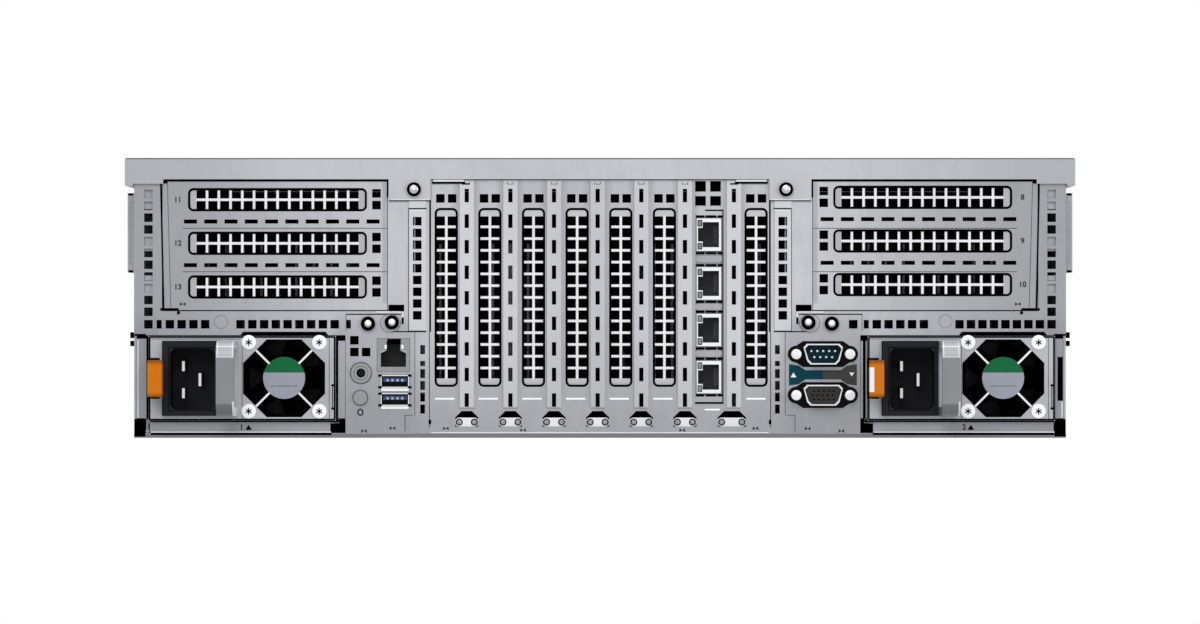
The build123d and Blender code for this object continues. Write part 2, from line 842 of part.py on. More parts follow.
def make_psu_case(x):
    """Housing with the fan opening, the inlet's pocket, the latch's slot and the edge connector's tongue."""
    left, fan_x = x - psu_w / 2, x - psu_w / 2 + psu_fan_x0 + psu_fan_w / 2
    case = block(left, left + psu_w, psu_face, psu_face + psu_len, psu_z, psu_z + psu_h)
    half_w, half_h = psu_fan_w / 2 + room_gap, psu_fan_h / 2 + room_gap
    fan_y = psu_face + psu_wall
    fan_room = block(fan_x - half_w, fan_x + half_w, fan_y, fan_y + psu_fan_len + room_gap,
                     psu_mid_z - half_h, psu_mid_z + half_h)
    mouth = octagon(fan_x, psu_mid_z, psu_fan_w - 2 * psu_fan_lip, psu_fan_h - 2 * psu_fan_lip, psu_fan_cut)
    fan_mouth = profile_y(mouth, psu_face, fan_y)
    inlet_room = block(left + inlet_x0, left + inlet_x0 + inlet_w, psu_face, psu_face + inlet_deep,
                       psu_mid_z - inlet_h / 2, psu_mid_z + inlet_h / 2)
    room_half = latch_h / 2 + latch_room_over
    latch_room = block(left, left + latch_room_w, psu_face, psu_face + latch_room_deep,
                       psu_mid_z - room_half, psu_mid_z + room_half)
    pin_half = latch_h / 2 + latch_pin_over + 2 * seat
    pin = rod_z(left + latch_pin_x, psu_face + latch_pin_deep, latch_pin_r + fit,
                psu_mid_z - pin_half, psu_mid_z + pin_half)
    tongue = block(x - tongue_w / 2, x + tongue_w / 2, psu_face + psu_len, psu_face + psu_len + tongue_len,
                   psu_z + tongue_up, psu_z + tongue_up + tongue_t)
    return join(carve(case, fan_room, fan_mouth, inlet_room, latch_room, pin), tongue)


def make_inlet(x):
    """Mains inlet: a deep recess with three blades."""
    mid = x - psu_w / 2 + inlet_x0 + inlet_w / 2
    front = psu_face - inlet_proud
    floor = front + recess_deep
    body = block(mid - inlet_w / 2, mid + inlet_w / 2, front, psu_face + inlet_deep,
                 psu_mid_z - inlet_h / 2, psu_mid_z + inlet_h / 2)
    recess_x, recess_z = mid + recess_right, psu_mid_z - recess_down
    recess = profile_y(octagon(recess_x, recess_z, recess_w, recess_h, recess_cut), front, floor)
    blades = [
        block(recess_x + dx - blade_t / 2, recess_x + dx + blade_t / 2, floor - blade_len, floor,
              psu_mid_z + dz - tall / 2, psu_mid_z + dz + tall / 2)
        for dx, dz, tall in blade_places
    ]
    return join(carve(body, recess), *blades)


def handle_loop(edge, y0, z0, z1, radius):
    """U-shaped outline that ends on the supply's face, with its two far corners rounded."""
    corners = [(edge, psu_face, z0), (edge, y0, z0), (edge, y0, z1), (edge, psu_face, z1)]
    wire = Wire.make_polygon(corners, close=True)
    far_corners = [v for v in wire.vertices() if v.Y < psu_face - radius]
    return Face(wire.fillet_2d(radius, far_corners))


def make_handle(x):
    """Loop handle that stands on the power supply's face."""
    edge, tip = x - psu_w / 2 + handle_x0, depth(-handle_reach)
    low, high = psu_mid_z - inlet_h / 2, psu_mid_z + inlet_h / 2
    outer = handle_loop(edge, tip, low, high, handle_corner)
    bar = handle_bar
    inner = handle_loop(edge, tip + bar, low + bar, high - bar, handle_corner - bar)
    return carve(Solid.extrude(outer, (handle_w, 0, 0)), Solid.extrude(inner, (handle_w, 0, 0)))


def make_psu_latch(x):
    """Release tab on a thin stem, with a pin along Z."""
    left = x - psu_w / 2
    low, high = psu_mid_z - latch_h / 2, psu_mid_z + latch_h / 2
    pin_x, pin_y = left + latch_pin_x, psu_face + latch_pin_deep
    head_y = psu_face - inlet_proud - latch_head_gap
    stem = block(pin_x - latch_stem / 2, pin_x + latch_stem / 2, head_y - latch_head_gap, pin_y, low, high)
    head = block(left + latch_edge, left + latch_edge + latch_w, head_y - latch_head, head_y, low, high)
    barrel = rod_z(pin_x, pin_y, latch_pin_r, low - latch_pin_over, high + latch_pin_over)
    return join(stem, head, barrel)


# Fans

def fan_frame(x, z, w, h, y0, length, bore_r, hub_r, base_t, pin_r, pin_l):
    """Square housing with a round duct, four diagonal struts and a motor base with its shaft."""
    body = sheet_y(window(x, z, w, h), [facet_ring(x, z, bore_r, duct_facets)], y0, y0 + length)
    base = facet_rod(x, z, hub_r, y0, y0 + base_t, hub_facets)
    strut = block(hub_r - weld, bore_r + weld, 0, base_t, -spoke_t / 2, spoke_t / 2)
    struts = [Pos(x, y0, z) * Rot(0, angle, 0) * strut for angle in (45, 135, 225, 315)]
    return join(body, base, rod_y(x, z, pin_r, y0 + base_t, y0 + base_t + pin_l), *struts)


def rotor(x, z, y0, length, hub_r, tip_r, pin_r, pin_l):
    """Hub with straight pitched blades, on a blind bore."""
    hub = facet_rod(x, z, hub_r, y0, y0 + length, hub_facets)
    chord = length * blade_share
    half_turn = chord / 2 * sin(radians(blade_pitch))
    reach = (tip_r ** 2 - half_turn ** 2) ** 0.5 - hub_r + weld
    thick = blade_taper * tip_r + blade_thin
    blade = block(0, reach, -chord / 2, chord / 2, -thick / 2, thick / 2)
    blades = [
        Pos(x, y0 + length / 2, z) * Rot(0, i * 360 / blade_count, 0) * Pos(hub_r - weld, 0, 0)
        * Rot(blade_pitch, 0, 0) * blade
        for i in range(blade_count)
    ]
    return carve(join(hub, *blades), rod_y(x, z, pin_r + fit, y0, y0 + pin_l))


def make_psu_fan_frame(x):
    """Housing of the small fan, with its motor base towards the rear."""
    fan_x = x - psu_w / 2 + psu_fan_x0 + psu_fan_w / 2
    return fan_frame(fan_x, psu_mid_z, psu_fan_w, psu_fan_h, psu_face + psu_wall, psu_fan_len,
                     psu_fan_bore_r, psu_fan_hub_r, psu_fan_base_t, psu_fan_pin_r, psu_fan_pin_l)


def make_psu_rotor(x):
    """Rotor of the small fan."""
    fan_x = x - psu_w / 2 + psu_fan_x0 + psu_fan_w / 2
    length = psu_fan_len - psu_fan_base_t - 2 * fan_gap - psu_fan_free
    return rotor(fan_x, psu_mid_z, psu_face + psu_wall + psu_fan_base_t + fan_gap, length,
                 psu_fan_hub_r - hub_inset, psu_fan_bore_r - fan_gap, psu_fan_pin_r, psu_fan_pin_l)


def make_fan_cage():
    """Floor with upright dividers between the main fans."""
    y0, y1 = depth(fan_depth - fan_cage_over), depth(fan_depth + fan_len + fan_cage_over)
    floor = block(-inner_x, inner_x, y0, y1, sheet, 2 * sheet)
    edges = [(i - fan_count / 2) * fan_pitch for i in range(fan_count + 1)]
    dividers = [block(x - sheet / 2, x + sheet / 2, y0, y1, 2 * sheet, 2 * sheet + fan_size) for x in edges]
    return join(floor, *dividers)


def make_main_fan_frame(x):
    """Housing of a main fan, with its motor base towards the rear."""
    return fan_frame(x, fan_mid_z, fan_size, fan_size, depth(fan_depth), fan_len, fan_bore_r, fan_hub_r,
                     fan_base_t, fan_pin_r, fan_pin_l)


def make_main_rotor(x):
    """Rotor of a main fan."""
    start = depth(fan_depth) + fan_base_t + fan_gap
    return rotor(x, fan_mid_z, start, fan_len - fan_base_t - 2 * fan_gap, fan_hub_r - fan_hub_inset,
                 fan_bore_r - fan_gap, fan_pin_r, fan_pin_l)


# Boards and what stands on them

def make_system_board():
    """Board with a narrow part between the power supplies and a full-width part in front of them."""
    half, wide = rear_board_w / 2, inner_x - board_side
    right = [(half, depth(board_start)), (half, depth(rear_board_end)), (wide, depth(rear_board_end)),
             (wide, depth(board_end))]
    points = right + [(-x, y) for x, y in reversed(right)]
    wire = Wire.make_polygon([(x, y, board_z) for x, y in points], close=True)
    return Solid.extrude(Face(wire), (0, 0, board_t))


def riser_board_x(side):
    """Middle plane of a riser board, which lies on its cage's inner wall."""
    inner = riser_left_x + riser_w / 2 if side < 0 else riser_right_x - riser_w / 2
    return inner + side * (sheet + board_t / 2)


def socket_up(x):
    """Upright card socket on the system board."""
    half, groove = socket_w / 2, board_t / 2 + groove_gap
    top = board_top + socket_h
    return profile_y([(x - half, board_top), (x + half, board_top), (x + half, top), (x + groove, top),
                      (x + groove, top - groove_deep), (x - groove, top - groove_deep), (x - groove, top),
                      (x - half, top)], depth(socket_depth), depth(socket_depth + socket_l))


def socket_level(z, side):
    """Level card socket on a riser board, opening away from it."""
    face = riser_board_x(side) + side * board_t / 2
    half, groove = socket_w / 2, board_t / 2 + groove_gap
    end = face + side * socket_h
    floor = end - side * groove_deep
    return profile_y([(face, z - half), (end, z - half), (end, z - groove), (floor, z - groove),
                      (floor, z + groove), (end, z + groove), (end, z + half), (face, z + half)],
                     depth(socket_depth), depth(socket_depth + socket_l))


def make_card_sockets():
    """Sockets of the upright slots, of the riser boards and of the level slots."""
    board_x = card_x + rj_h / 2 + board_t / 2
    uprights = [x + socket_beside for x in slot_xs] + [board_x, riser_board_x(-1), riser_board_x(1)]
    sockets = [socket_up(x) for x in uprights]
    sockets += [socket_level(z - socket_drop, -1) for z in riser_slots_left]
    sockets += [socket_level(z - socket_drop, 1) for z in riser_slots_right]
    return sockets


def make_riser_board(side):
    """Upright board that plugs into the system board."""
    low_x, high_x = riser_board_x(side) - board_t / 2, riser_board_x(side) + board_t / 2
    edge = block(low_x, high_x, depth(socket_depth + edge_short), depth(socket_depth + socket_l - edge_short),
                 card_edge_z, card_panel_z)
    panel = block(low_x, high_x, depth(socket_depth - riser_board_back), depth(riser_len - riser_board_short),
                  card_panel_z, riser_z + riser_h - riser_board_top)
    return join(edge, panel)


def make_power_socket(x):
    """Socket that a power supply's tongue plugs into."""
    y0 = depth(psu_len - psu_proud + power_socket_gap)
    tongue_z = psu_z + tongue_up + tongue_t / 2
    gap = tongue_t / 2 + 2 * seat
    half, slot_half = power_socket_w / 2, tongue_w / 2 + power_socket_wide
    body = block(x - half, x + half, y0, y0 + power_socket_l, board_top, tongue_z + power_socket_over)
    slot = block(x - slot_half, x + slot_half, y0, y0 + power_socket_deep, tongue_z - gap, tongue_z + gap)
    return carve(body, slot)


def make_heat_sink(x):
    """Finned heat sink on its processor."""
    base_z = board_top + sink_base
    points = [(x - sink_w / 2, base_z), (x + sink_w / 2, base_z)]
    step = (sink_w - fin_t) / (fin_count - 1)
    for k in reversed(range(fin_count)):
        fin_x = x - sink_w / 2 + k * step
        points += [(fin_x + fin_t, base_z + sink_plate)] if k < fin_count - 1 else []
        points += [(fin_x + fin_t, board_top + sink_h), (fin_x, board_top + sink_h)]
        points += [(fin_x, base_z + sink_plate)] if k > 0 else []
    fins = profile_y(points, depth(sink_depth), depth(sink_depth + sink_l))
    half, mid_y = package_w / 2, depth(sink_depth + sink_l / 2)
    return join(fins, block(x - half, x + half, mid_y - half, mid_y + half, board_top, base_z))


def make_memory(x):
    """Memory module standing in its socket."""
    half, thin = (memory_pitch - memory_socket_gap) / 2, memory_t / 2
    low, top = board_top + memory_socket_h, board_top + memory_h
    y0 = depth(sink_depth - memory_back)
    return profile_y([(x - half, board_top), (x + half, board_top), (x + half, low), (x + thin, low),
                      (x + thin, top), (x - thin, top), (x - thin, low), (x - half, low)], y0, y0 + memory_l)


def make_shroud():
    """Air duct over the heat sinks, standing on the board by its two sides and ending before the fans."""
    half, wall = inner_x - shroud_side, shroud_wall
    return profile_y([(-half, board_top), (-half + wall, board_top), (-half + wall, shroud_z - wall),
                      (half - wall, shroud_z - wall), (half - wall, board_top), (half, board_top),
                      (half, shroud_z), (-half, shroud_z)], depth(shroud_depth), depth(fan_depth - shroud_gap))


# Front

def make_drive_cage():
    """Upright bays in one frame, standing on the floor."""
    low, high = sheet, bay_z + bay_h + bay_sheet
    cells = [window(x, bay_mid_z, bay_pitch - bay_sheet, bay_h) for x in bay_xs]
    cells += [window(0, (sheet + bay_z) / 2, 2 * cage_half - 2 * filler_arm_t, bay_z - sheet - bay_foot)]
    return sheet_y(window(0, (low + high) / 2, 2 * cage_half, high - low), cells, drive_y0, front_y - sheet)


def make_backplane():
    """Board behind the bays, with a connector for each."""
    panel = block(-cage_half, cage_half, drive_y0 - board_t, drive_y0, sheet, bay_z + bay_h + bay_sheet)
    low, high = bay_z + plug_z0, bay_z + plug_z1
    plugs = [block(x - plug_w / 2, x + plug_w / 2, drive_y0, drive_y0 + plug_t, low, high) for x in bay_xs]
    return join(panel, *plugs)


def make_grille():
    """Front sheet with upright vent slots on both sides of the bays."""
    holes = [window(0, bay_mid_z, bay_count * bay_pitch - bay_sheet, bay_h)]
    side_x0 = bay_count * bay_pitch / 2 + grille_margin
    per_side = int((inner_x - side_x0) / grille_slot_pitch)
    rows = [bay_mid_z + k * (grille_slot_h + grille_web) / 2 for k in (-1, 1)]
    holes += [window(side * (side_x0 + i * grille_slot_pitch), z, grille_slot_w, grille_slot_h)
              for side in (-1, 1) for i in range(per_side) for z in rows]
    edge = window(0, (sheet + top_z) / 2, 2 * inner_x, top_z - sheet)
    return sheet_y(edge, holes, front_y - sheet, front_y)


def make_drive(x):
    """Carrier with its drive: side cheeks at the front hold the lever's pin."""
    wide, half, room_y = carrier_w / 2, carrier_w / 2 - carrier_wall, drive_tip - carrier_room
    body = block(x - wide, x + wide, drive_tip - carrier_len, drive_tip, drive_low, drive_high)
    lever_top = drive_low + drive_lever_h + lever_room_over
    lever_room = block(x - half, x + half, room_y, drive_tip, drive_low + carrier_lip, lever_top)
    button_low = lever_top + button_room_gap
    button_room = block(x - half, x + half, room_y, drive_tip, button_low, drive_high - carrier_lip)
    pin = rod_x(drive_tip - drive_pin_back, drive_low + drive_pin_z, drive_pin_r + fit, x - wide, x + wide)
    return carve(body, lever_room, button_room, pin)


def make_drive_lever(x):
    """Lever across the carrier's front, hinged at its lower end."""
    half, seat_y = drive_part_half, drive_tip - drive_lever_t
    pin_y, pin_z = drive_tip - drive_pin_back, drive_low + drive_pin_z
    low = pin_z - drive_knuckle
    high = pin_z + drive_lever_h - lever_short
    arm = block(x - half, x + half, seat_y, drive_tip + drive_lever_t, low, high)
    knuckle = block(x - half, x + half, pin_y - drive_knuckle, seat_y, low, pin_z + drive_knuckle)
    return join(arm, knuckle, rod_x(pin_y, pin_z, drive_pin_r, x - carrier_w / 2, x + carrier_w / 2))


def make_drive_button(x):
    """Release button above the lever."""
    low = drive_low + drive_lever_h + lever_room_over + button_room_gap + drive_part_gap
    return block(x - drive_part_half, x + drive_part_half, drive_tip - drive_button_len,
                 drive_tip + drive_button_proud, low, drive_high - carrier_lip - drive_part_gap)


def make_drive_blank(x):
    """Filler of an empty bay: a front plate on two thin side arms."""
    half, back = carrier_w / 2, front_y - filler_back
    plate = block(x - half, x + half, back, front_y + filler_proud, drive_low, drive_high)
    arms = [block(x - half, x + half, front_y - filler_arm_l, back, z, z + filler_arm_t)
            for z in (drive_low, drive_high - filler_arm_t)]
    return join(plate, *arms)


def make_ear(side):
    """Rack ear: a leg along the side wall, the slotted flange and the control block."""
    near, far = body_w / 2, ear_w / 2
    slots = [slot_ring(side * rack_holes_x / 2, (height + k * rack_holes_z) / 2, rack_slot_l, rack_slot_d)
             for k in (-1, 1)]
    flange = sheet_y(window(side * (near + far) / 2, height / 2, far - near, height - 2 * ear_low), slots,
                     front_y - ear_t, front_y)
    top = height - cover_flange - ear_low
    leg_x = sorted((side * near, side * (near + ear_t)))
    leg = block(*leg_x, front_y - ear_leg, front_y - ear_t, ear_low + ear_leg_up, top)
    block_x = sorted((side * near, side * (near + block_w)))
    return join(flange, leg, block(*block_x, front_y, front_y + block_reach, block_z, top))


def make_right_ear():
    """Right ear, with the power button's room in its control block."""
    y0, y1 = front_y + power_button_wall, front_y + block_reach
    return carve(make_ear(1), rod_y(power_button_x, power_button_z, button_r + fit, y0, y1))


def make_power_button():
    """Round push button in the right ear's control block."""
    return rod_y(power_button_x, power_button_z, button_r, front_y + 2 * power_button_wall,
                 front_y + block_reach + power_button_wall / 2)


def make_rail(side):
    """Rail plate on the side wall: a shallow channel with its flanges against the wall."""
    near, far = body_w / 2, body_w / 2 + rail_t
    low, high = rail_z0, rail_z0 + rail_h
    points = [(near, low), (far, low), (far, high), (near, high), (near, high - rail_lip),
              (far - sheet, high - rail_lip), (far - sheet, low + rail_lip), (near, low + rail_lip)]
    y1 = front_y - ear_leg - 2 * rail_start
    return profile_y([(side * x, z) for x, z in points], depth(rail_start), y1)


# Cover

def make_cover():
    """Folded cover with inward lips, rear band, two screw tabs and the pocket of the latch lever."""
    xo, xi, xl = cover_w / 2, cover_w / 2 - sheet, body_w / 2 + seat
    low = height - cover_flange
    right = [(xo, low), (xl, low), (xl, low + sheet), (xi, low + sheet), (xi, top_z)]
    pan = profile_y([(-xo, height), (xo, height)] + right + [(-x, z) for x, z in reversed(right)],
                    band_y, front_y - ear_t - seat)
    folds = [e for e in pan.edges() if e.length > 0.9 * body_len and abs(e.center().X) > xo - fit]
    pan = pan.fillet(cover_fold_r, folds)
    band_z = height - band_h
    tab_out, tab_in = tab_mid_x + tab_w / 2, tab_mid_x - tab_w / 2
    right = [(xi, low + sheet), (band_end_x, low + sheet), (band_end_x, band_z), (tab_out, band_z),
             (tab_out, tab_z), (tab_in, tab_z), (tab_in, band_z)]
    points = [(-xi, top_z), (xi, top_z)] + right + [(-x, z) for x, z in reversed(right)]
    holes = [ring(side * cover_screw_x, cover_screw_z, screw_r + screw_gap) for side in (-1, 1)]
    band = sheet_y(outline(points), holes, band_y, band_y + sheet)
    y0, y1 = depth(lever_depth - pocket_rear), depth(lever_depth + lever_len + pocket_front)
    wall_x = pocket_x + pocket_wall
    mouth = block(-pocket_x, pocket_x, y0, y1, top_z, height)
    tray = block(-wall_x, wall_x, y0 - pocket_wall, y1 + pocket_wall, height - pocket_h - pocket_wall, top_z)
    room = block(-pocket_x, pocket_x, y0, y1, height - pocket_h, top_z)
    pin = rod_x(lever_pin_y, lever_pin_z, lever_pin_r + fit, -wall_x, wall_x)
    return carve(join(pan, band, tray), mouth, room, pin)


def make_cover_latch():
    """Lever in the cover's pocket, with a hooked end and a pin along X."""
    half, y0 = lever_w / 2, depth(lever_depth)
    top = height - lever_under
    plate = block(-half, half, y0, lever_pin_y, top - lever_t, top)
    lip = block(-half, half, y0, y0 + lever_lip, top - lever_t - lever_lip, top - lever_t)
    barrel = rod_x(lever_pin_y, lever_pin_z, lever_barrel_r, -half, half)
    reach = pocket_x + lever_pin_out
    return join(plate, lip, barrel, rod_x(lever_pin_y, lever_pin_z, lever_pin_r, -reach, reach))


# All nodes

os.makedirs("parts", exist_ok=True)
save("chassis_tray", make_tray())
save("rear_panel",
     make_rear_sheet(-1, psu_left_x, port_edge_left, riser_left_x,
                     square_rows(-1, low_rows_left, low_halves_left) + left_ports()),
     make_rear_sheet(1, psu_right_x, port_edge_right, riser_right_x,
                     square_rows(1, low_rows_right, low_halves_right) + right_ports()))
save("slot_bracket", make_slot_bracket())
save("riser_cage_left", make_riser_cage(riser_left_x, riser_slots_left, -1))
save("riser_cage_right", make_riser_cage(riser_right_x, riser_slots_right, 1))
save("slot_covers", *make_blanks())
save("network_card", make_network_card())
save("network_jacks", *[rj_socket(card_x, z, True, rj_w, rj_h, jack_proud) for z in card_jack_zs])
save("management_jack", rj_socket(mgmt_x, mgmt_z, False, rj_w, rj_w, mgmt_proud))
save("usb_ports", *[make_usb(z) for z in usb_zs])
save("serial_port", dsub(serial_z, serial_deep))
save("vga_port", dsub(vga_z, vga_deep))
save("id_jack", make_ring_jack())
save("rear_id_button", make_id_button())
save("rear_screws", *[screw(x, z, depth(0)) for x, z in left_screws + right_screws])
save("side_rails", make_rail(-1), make_rail(1))
save("psu_bays", make_bay(-1, psu_left_x, port_edge_left), make_bay(1, psu_right_x, port_edge_right))
save("power_sockets", *[make_power_socket(x) for x in psu_xs.values()])

for name, x in psu_xs.items():
    save(f"{name}_case", make_psu_case(x))
    save(f"{name}_inlet", make_inlet(x))
    save(f"{name}_handle", make_handle(x))
    save(f"{name}_latch", make_psu_latch(x))
    save(f"{name}_fan_frame", make_psu_fan_frame(x))
    save(f"{name}_fan", make_psu_rotor(x))

save("system_board", make_system_board())
save("card_sockets", *make_card_sockets())
save("riser_boards", *[make_riser_board(side) for side in (-1, 1)])
save("heat_sinks", *[make_heat_sink((i - (sink_count - 1) / 2) * group_pitch) for i in range(sink_count)])
save("memory_modules", *[make_memory(x) for x in memory_xs])
save("air_shroud", make_shroud())
save("fan_cage", make_fan_cage())
save("fan_frames", *[make_main_fan_frame(x) for x in fan_xs])
for number, x in enumerate(fan_xs, 1):
    save(f"fan_{number}", make_main_rotor(x))

save("drive_cage", make_drive_cage())
save("backplane", make_backplane())
save("front_grille", make_grille())
for number, x in enumerate(bay_xs[:drive_count], 1):
    save(f"drive_{number}", make_drive(x))
    save(f"drive_{number}_lever", make_drive_lever(x))
    save(f"drive_{number}_button", make_drive_button(x))
save("drive_blanks", *[make_drive_blank(x) for x in bay_xs[drive_count:]])
save("ear_left", make_ear(-1))
save("ear_right", make_right_ear())
save("power_button", make_power_button())

save("top_cover", make_cover())
save("cover_screws", *[screw(side * cover_screw_x, cover_screw_z, band_y) for side in (-1, 1)])
save("cover_latch", make_cover_latch())
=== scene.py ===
"""Look of a three-unit rack server seen from its rear, laid out as a Blender add-on."""

import json
import math

import bpy
from bpy.props import FloatProperty, FloatVectorProperty, IntProperty, PointerProperty
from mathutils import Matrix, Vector

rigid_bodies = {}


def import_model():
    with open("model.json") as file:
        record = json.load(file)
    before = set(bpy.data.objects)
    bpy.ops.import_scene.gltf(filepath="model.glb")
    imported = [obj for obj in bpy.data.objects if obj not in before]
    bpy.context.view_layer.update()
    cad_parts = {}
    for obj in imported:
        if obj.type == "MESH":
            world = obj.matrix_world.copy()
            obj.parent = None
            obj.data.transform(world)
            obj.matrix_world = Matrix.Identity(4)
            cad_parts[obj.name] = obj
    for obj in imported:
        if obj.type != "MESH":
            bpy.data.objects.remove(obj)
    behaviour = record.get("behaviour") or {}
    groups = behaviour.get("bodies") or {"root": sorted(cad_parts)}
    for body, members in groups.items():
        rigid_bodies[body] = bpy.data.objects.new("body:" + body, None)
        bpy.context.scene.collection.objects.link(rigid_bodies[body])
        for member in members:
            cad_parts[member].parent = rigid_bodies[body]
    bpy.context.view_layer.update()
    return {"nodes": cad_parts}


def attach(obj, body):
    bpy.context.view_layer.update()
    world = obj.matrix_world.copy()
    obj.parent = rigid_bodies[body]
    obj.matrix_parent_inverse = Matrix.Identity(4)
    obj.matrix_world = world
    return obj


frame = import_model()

bl_info = {
    "name": "Rack server look",
    "version": (1, 0, 0),
    "blender": (4, 5, 0),
    "location": "3D View > Sidebar > Server",
    "description": "Finishes and fine detail of a three-unit rack server",
    "category": "Object",
}

MM = 0.001
SIDES = (-1, 1)

# Depths of the faces, in millimetres; a smaller number is nearer to the camera
BLANK_Y = -374.8
WALL_Y = -376.0
RAISED_Y = -376.5
COVER_Y = -377.5
SUPPLY_Y = -379.0
POST_Y = -380.6

# Places on the rear, in millimetres to the right of the middle and up from the floor
UPRIGHT_SLOTS = (-71.6, -51.28, -30.96, -10.64, 9.68, 30.0, 50.7, 72.7)
CARD_X = 50.7
SLOT_MID_Z = 65.4
SLOT_LONG = 83.4
SLOT_ACROSS = 10.9
RIBS = (-62.05, -41.73, -21.41, -1.09, 19.23, 39.55, 62.35)
ARCHES = tuple((x, 3.5) for x in RIBS[:6]) + ((61.4, 4.7),)
ARCH_Z = 7.3
DASH_LOW, DASH_HIGH = 17.8, 18.6
CLIP_Z = 118.0
SHELF_Z = 49.4
WALL_TOP = 119.6
JACK_ZS = (94.6, 71.9, 50.2, 28.3)
LEFT_ROWS = (110.9, 90.58, 70.26)
RIGHT_ROWS = (112.0, 91.68, 71.36)
LEFT_ROW_X = -150.2
RIGHT_ROW_X = 150.3
REAR_SCREWS = ((-108.0, 53.2), (-96.9, 53.8), (97.0, 53.8), (107.9, 53.2))
COVER_SCREWS = ((-86.6, 115.7), (86.6, 115.7))
SCREW_TAB_X, SCREW_TAB_Z = 97.6, 53.8
PORT_X = 103.8
SERIAL_Z, VGA_Z = 39.0, 19.9
USB_X = -95.5
USB_ZS = (26.3, 17.9)
RING_PLACE = (-111.3, 30.2)
BUTTON_PLACE = (-111.6, 18.7)

# Left edge of each supply and the middle of its fan
SUPPLIES = {"psu_left": (-210.0, -147.0), "psu_right": (124.6, 187.6)}
SUPPLY_MID_Z = 27.75


def shade(colour):
    """Turns a screen colour, three numbers from 0 to 255, into the shader's own four."""
    if isinstance(colour, tuple) and len(colour) == 3:
        return tuple((value / 255) ** 2.2 for value in colour) + (1.0,)
    return colour


def dimmed(colour, share):
    return tuple(value * share for value in colour)


def metres(*values):
    return tuple(value * MM for value in values)


def spread(groups):
    """Turns each key with its words into one entry for each word."""
    return {word: key for key, words in groups.items() for word in words.split()}


class Signal:
    """A node value that can be added, multiplied and compared like a number."""

    def __init__(self, graph, socket):
        self.graph = graph
        self.socket = socket

    def maths(self, operation, *terms):
        made = self.graph.node("ShaderNodeMath", {"operation": operation}, dict(enumerate(terms)))
        return Signal(self.graph, made.outputs[0])

    def __add__(self, other):
        return self.maths("ADD", self, other)

    def __sub__(self, other):
        return self.maths("SUBTRACT", self, other)

    def __rsub__(self, other):
        return self.maths("SUBTRACT", other, self)

    def __mul__(self, other):
        return self.maths("MULTIPLY", self, other)

    def __abs__(self):
        return self.maths("ABSOLUTE", self)

    __radd__ = __add__
    __rmul__ = __mul__

    def most(self, other):
        return self.maths("MAXIMUM", self, other)

    def least(self, other):
        return self.maths("MINIMUM", self, other)

    def wrap(self, length):
        """Distance past the last whole multiple of the length."""
        return self.maths("FLOORED_MODULO", self, length)

    def rise(self, start, end):
        """0 below the start, 1 above the end, smooth between them."""
        made = self.graph.node(
            "ShaderNodeMapRange",
            {"interpolation_type": "SMOOTHSTEP"},
            {"Value": self, "From Min": start, "From Max": end},
        )
        return Signal(self.graph, made.outputs["Result"])

    def fall(self, start, end):
        """1 below the start, 0 above the end, smooth between them."""
        return 1.0 - self.rise(start, end)

    def near(self, centre, reach, soft=0.0003):
        """1 within the reach of the centre and 0 beyond it."""
        return abs(self - centre).fall(reach - soft, reach + soft)


class Graph:
    """A node tree that is built one node at a time."""

    def __init__(self, tree):
        self.tree = tree

    def node(self, kind, settings=None, values=None):
        """Adds a node, with its settings first and then its socket values and links."""
        made = self.tree.nodes.new(kind)
        for name, value in (settings or {}).items():
            setattr(made, name, value)
        for key, value in (values or {}).items():
            self.feed(made.inputs[key], value)
        return made

    def feed(self, socket, value):
        if isinstance(value, Signal):
            value = value.socket
        if isinstance(value, bpy.types.NodeSocket):
            self.tree.links.new(value, socket)
        else:
            socket.default_value = value


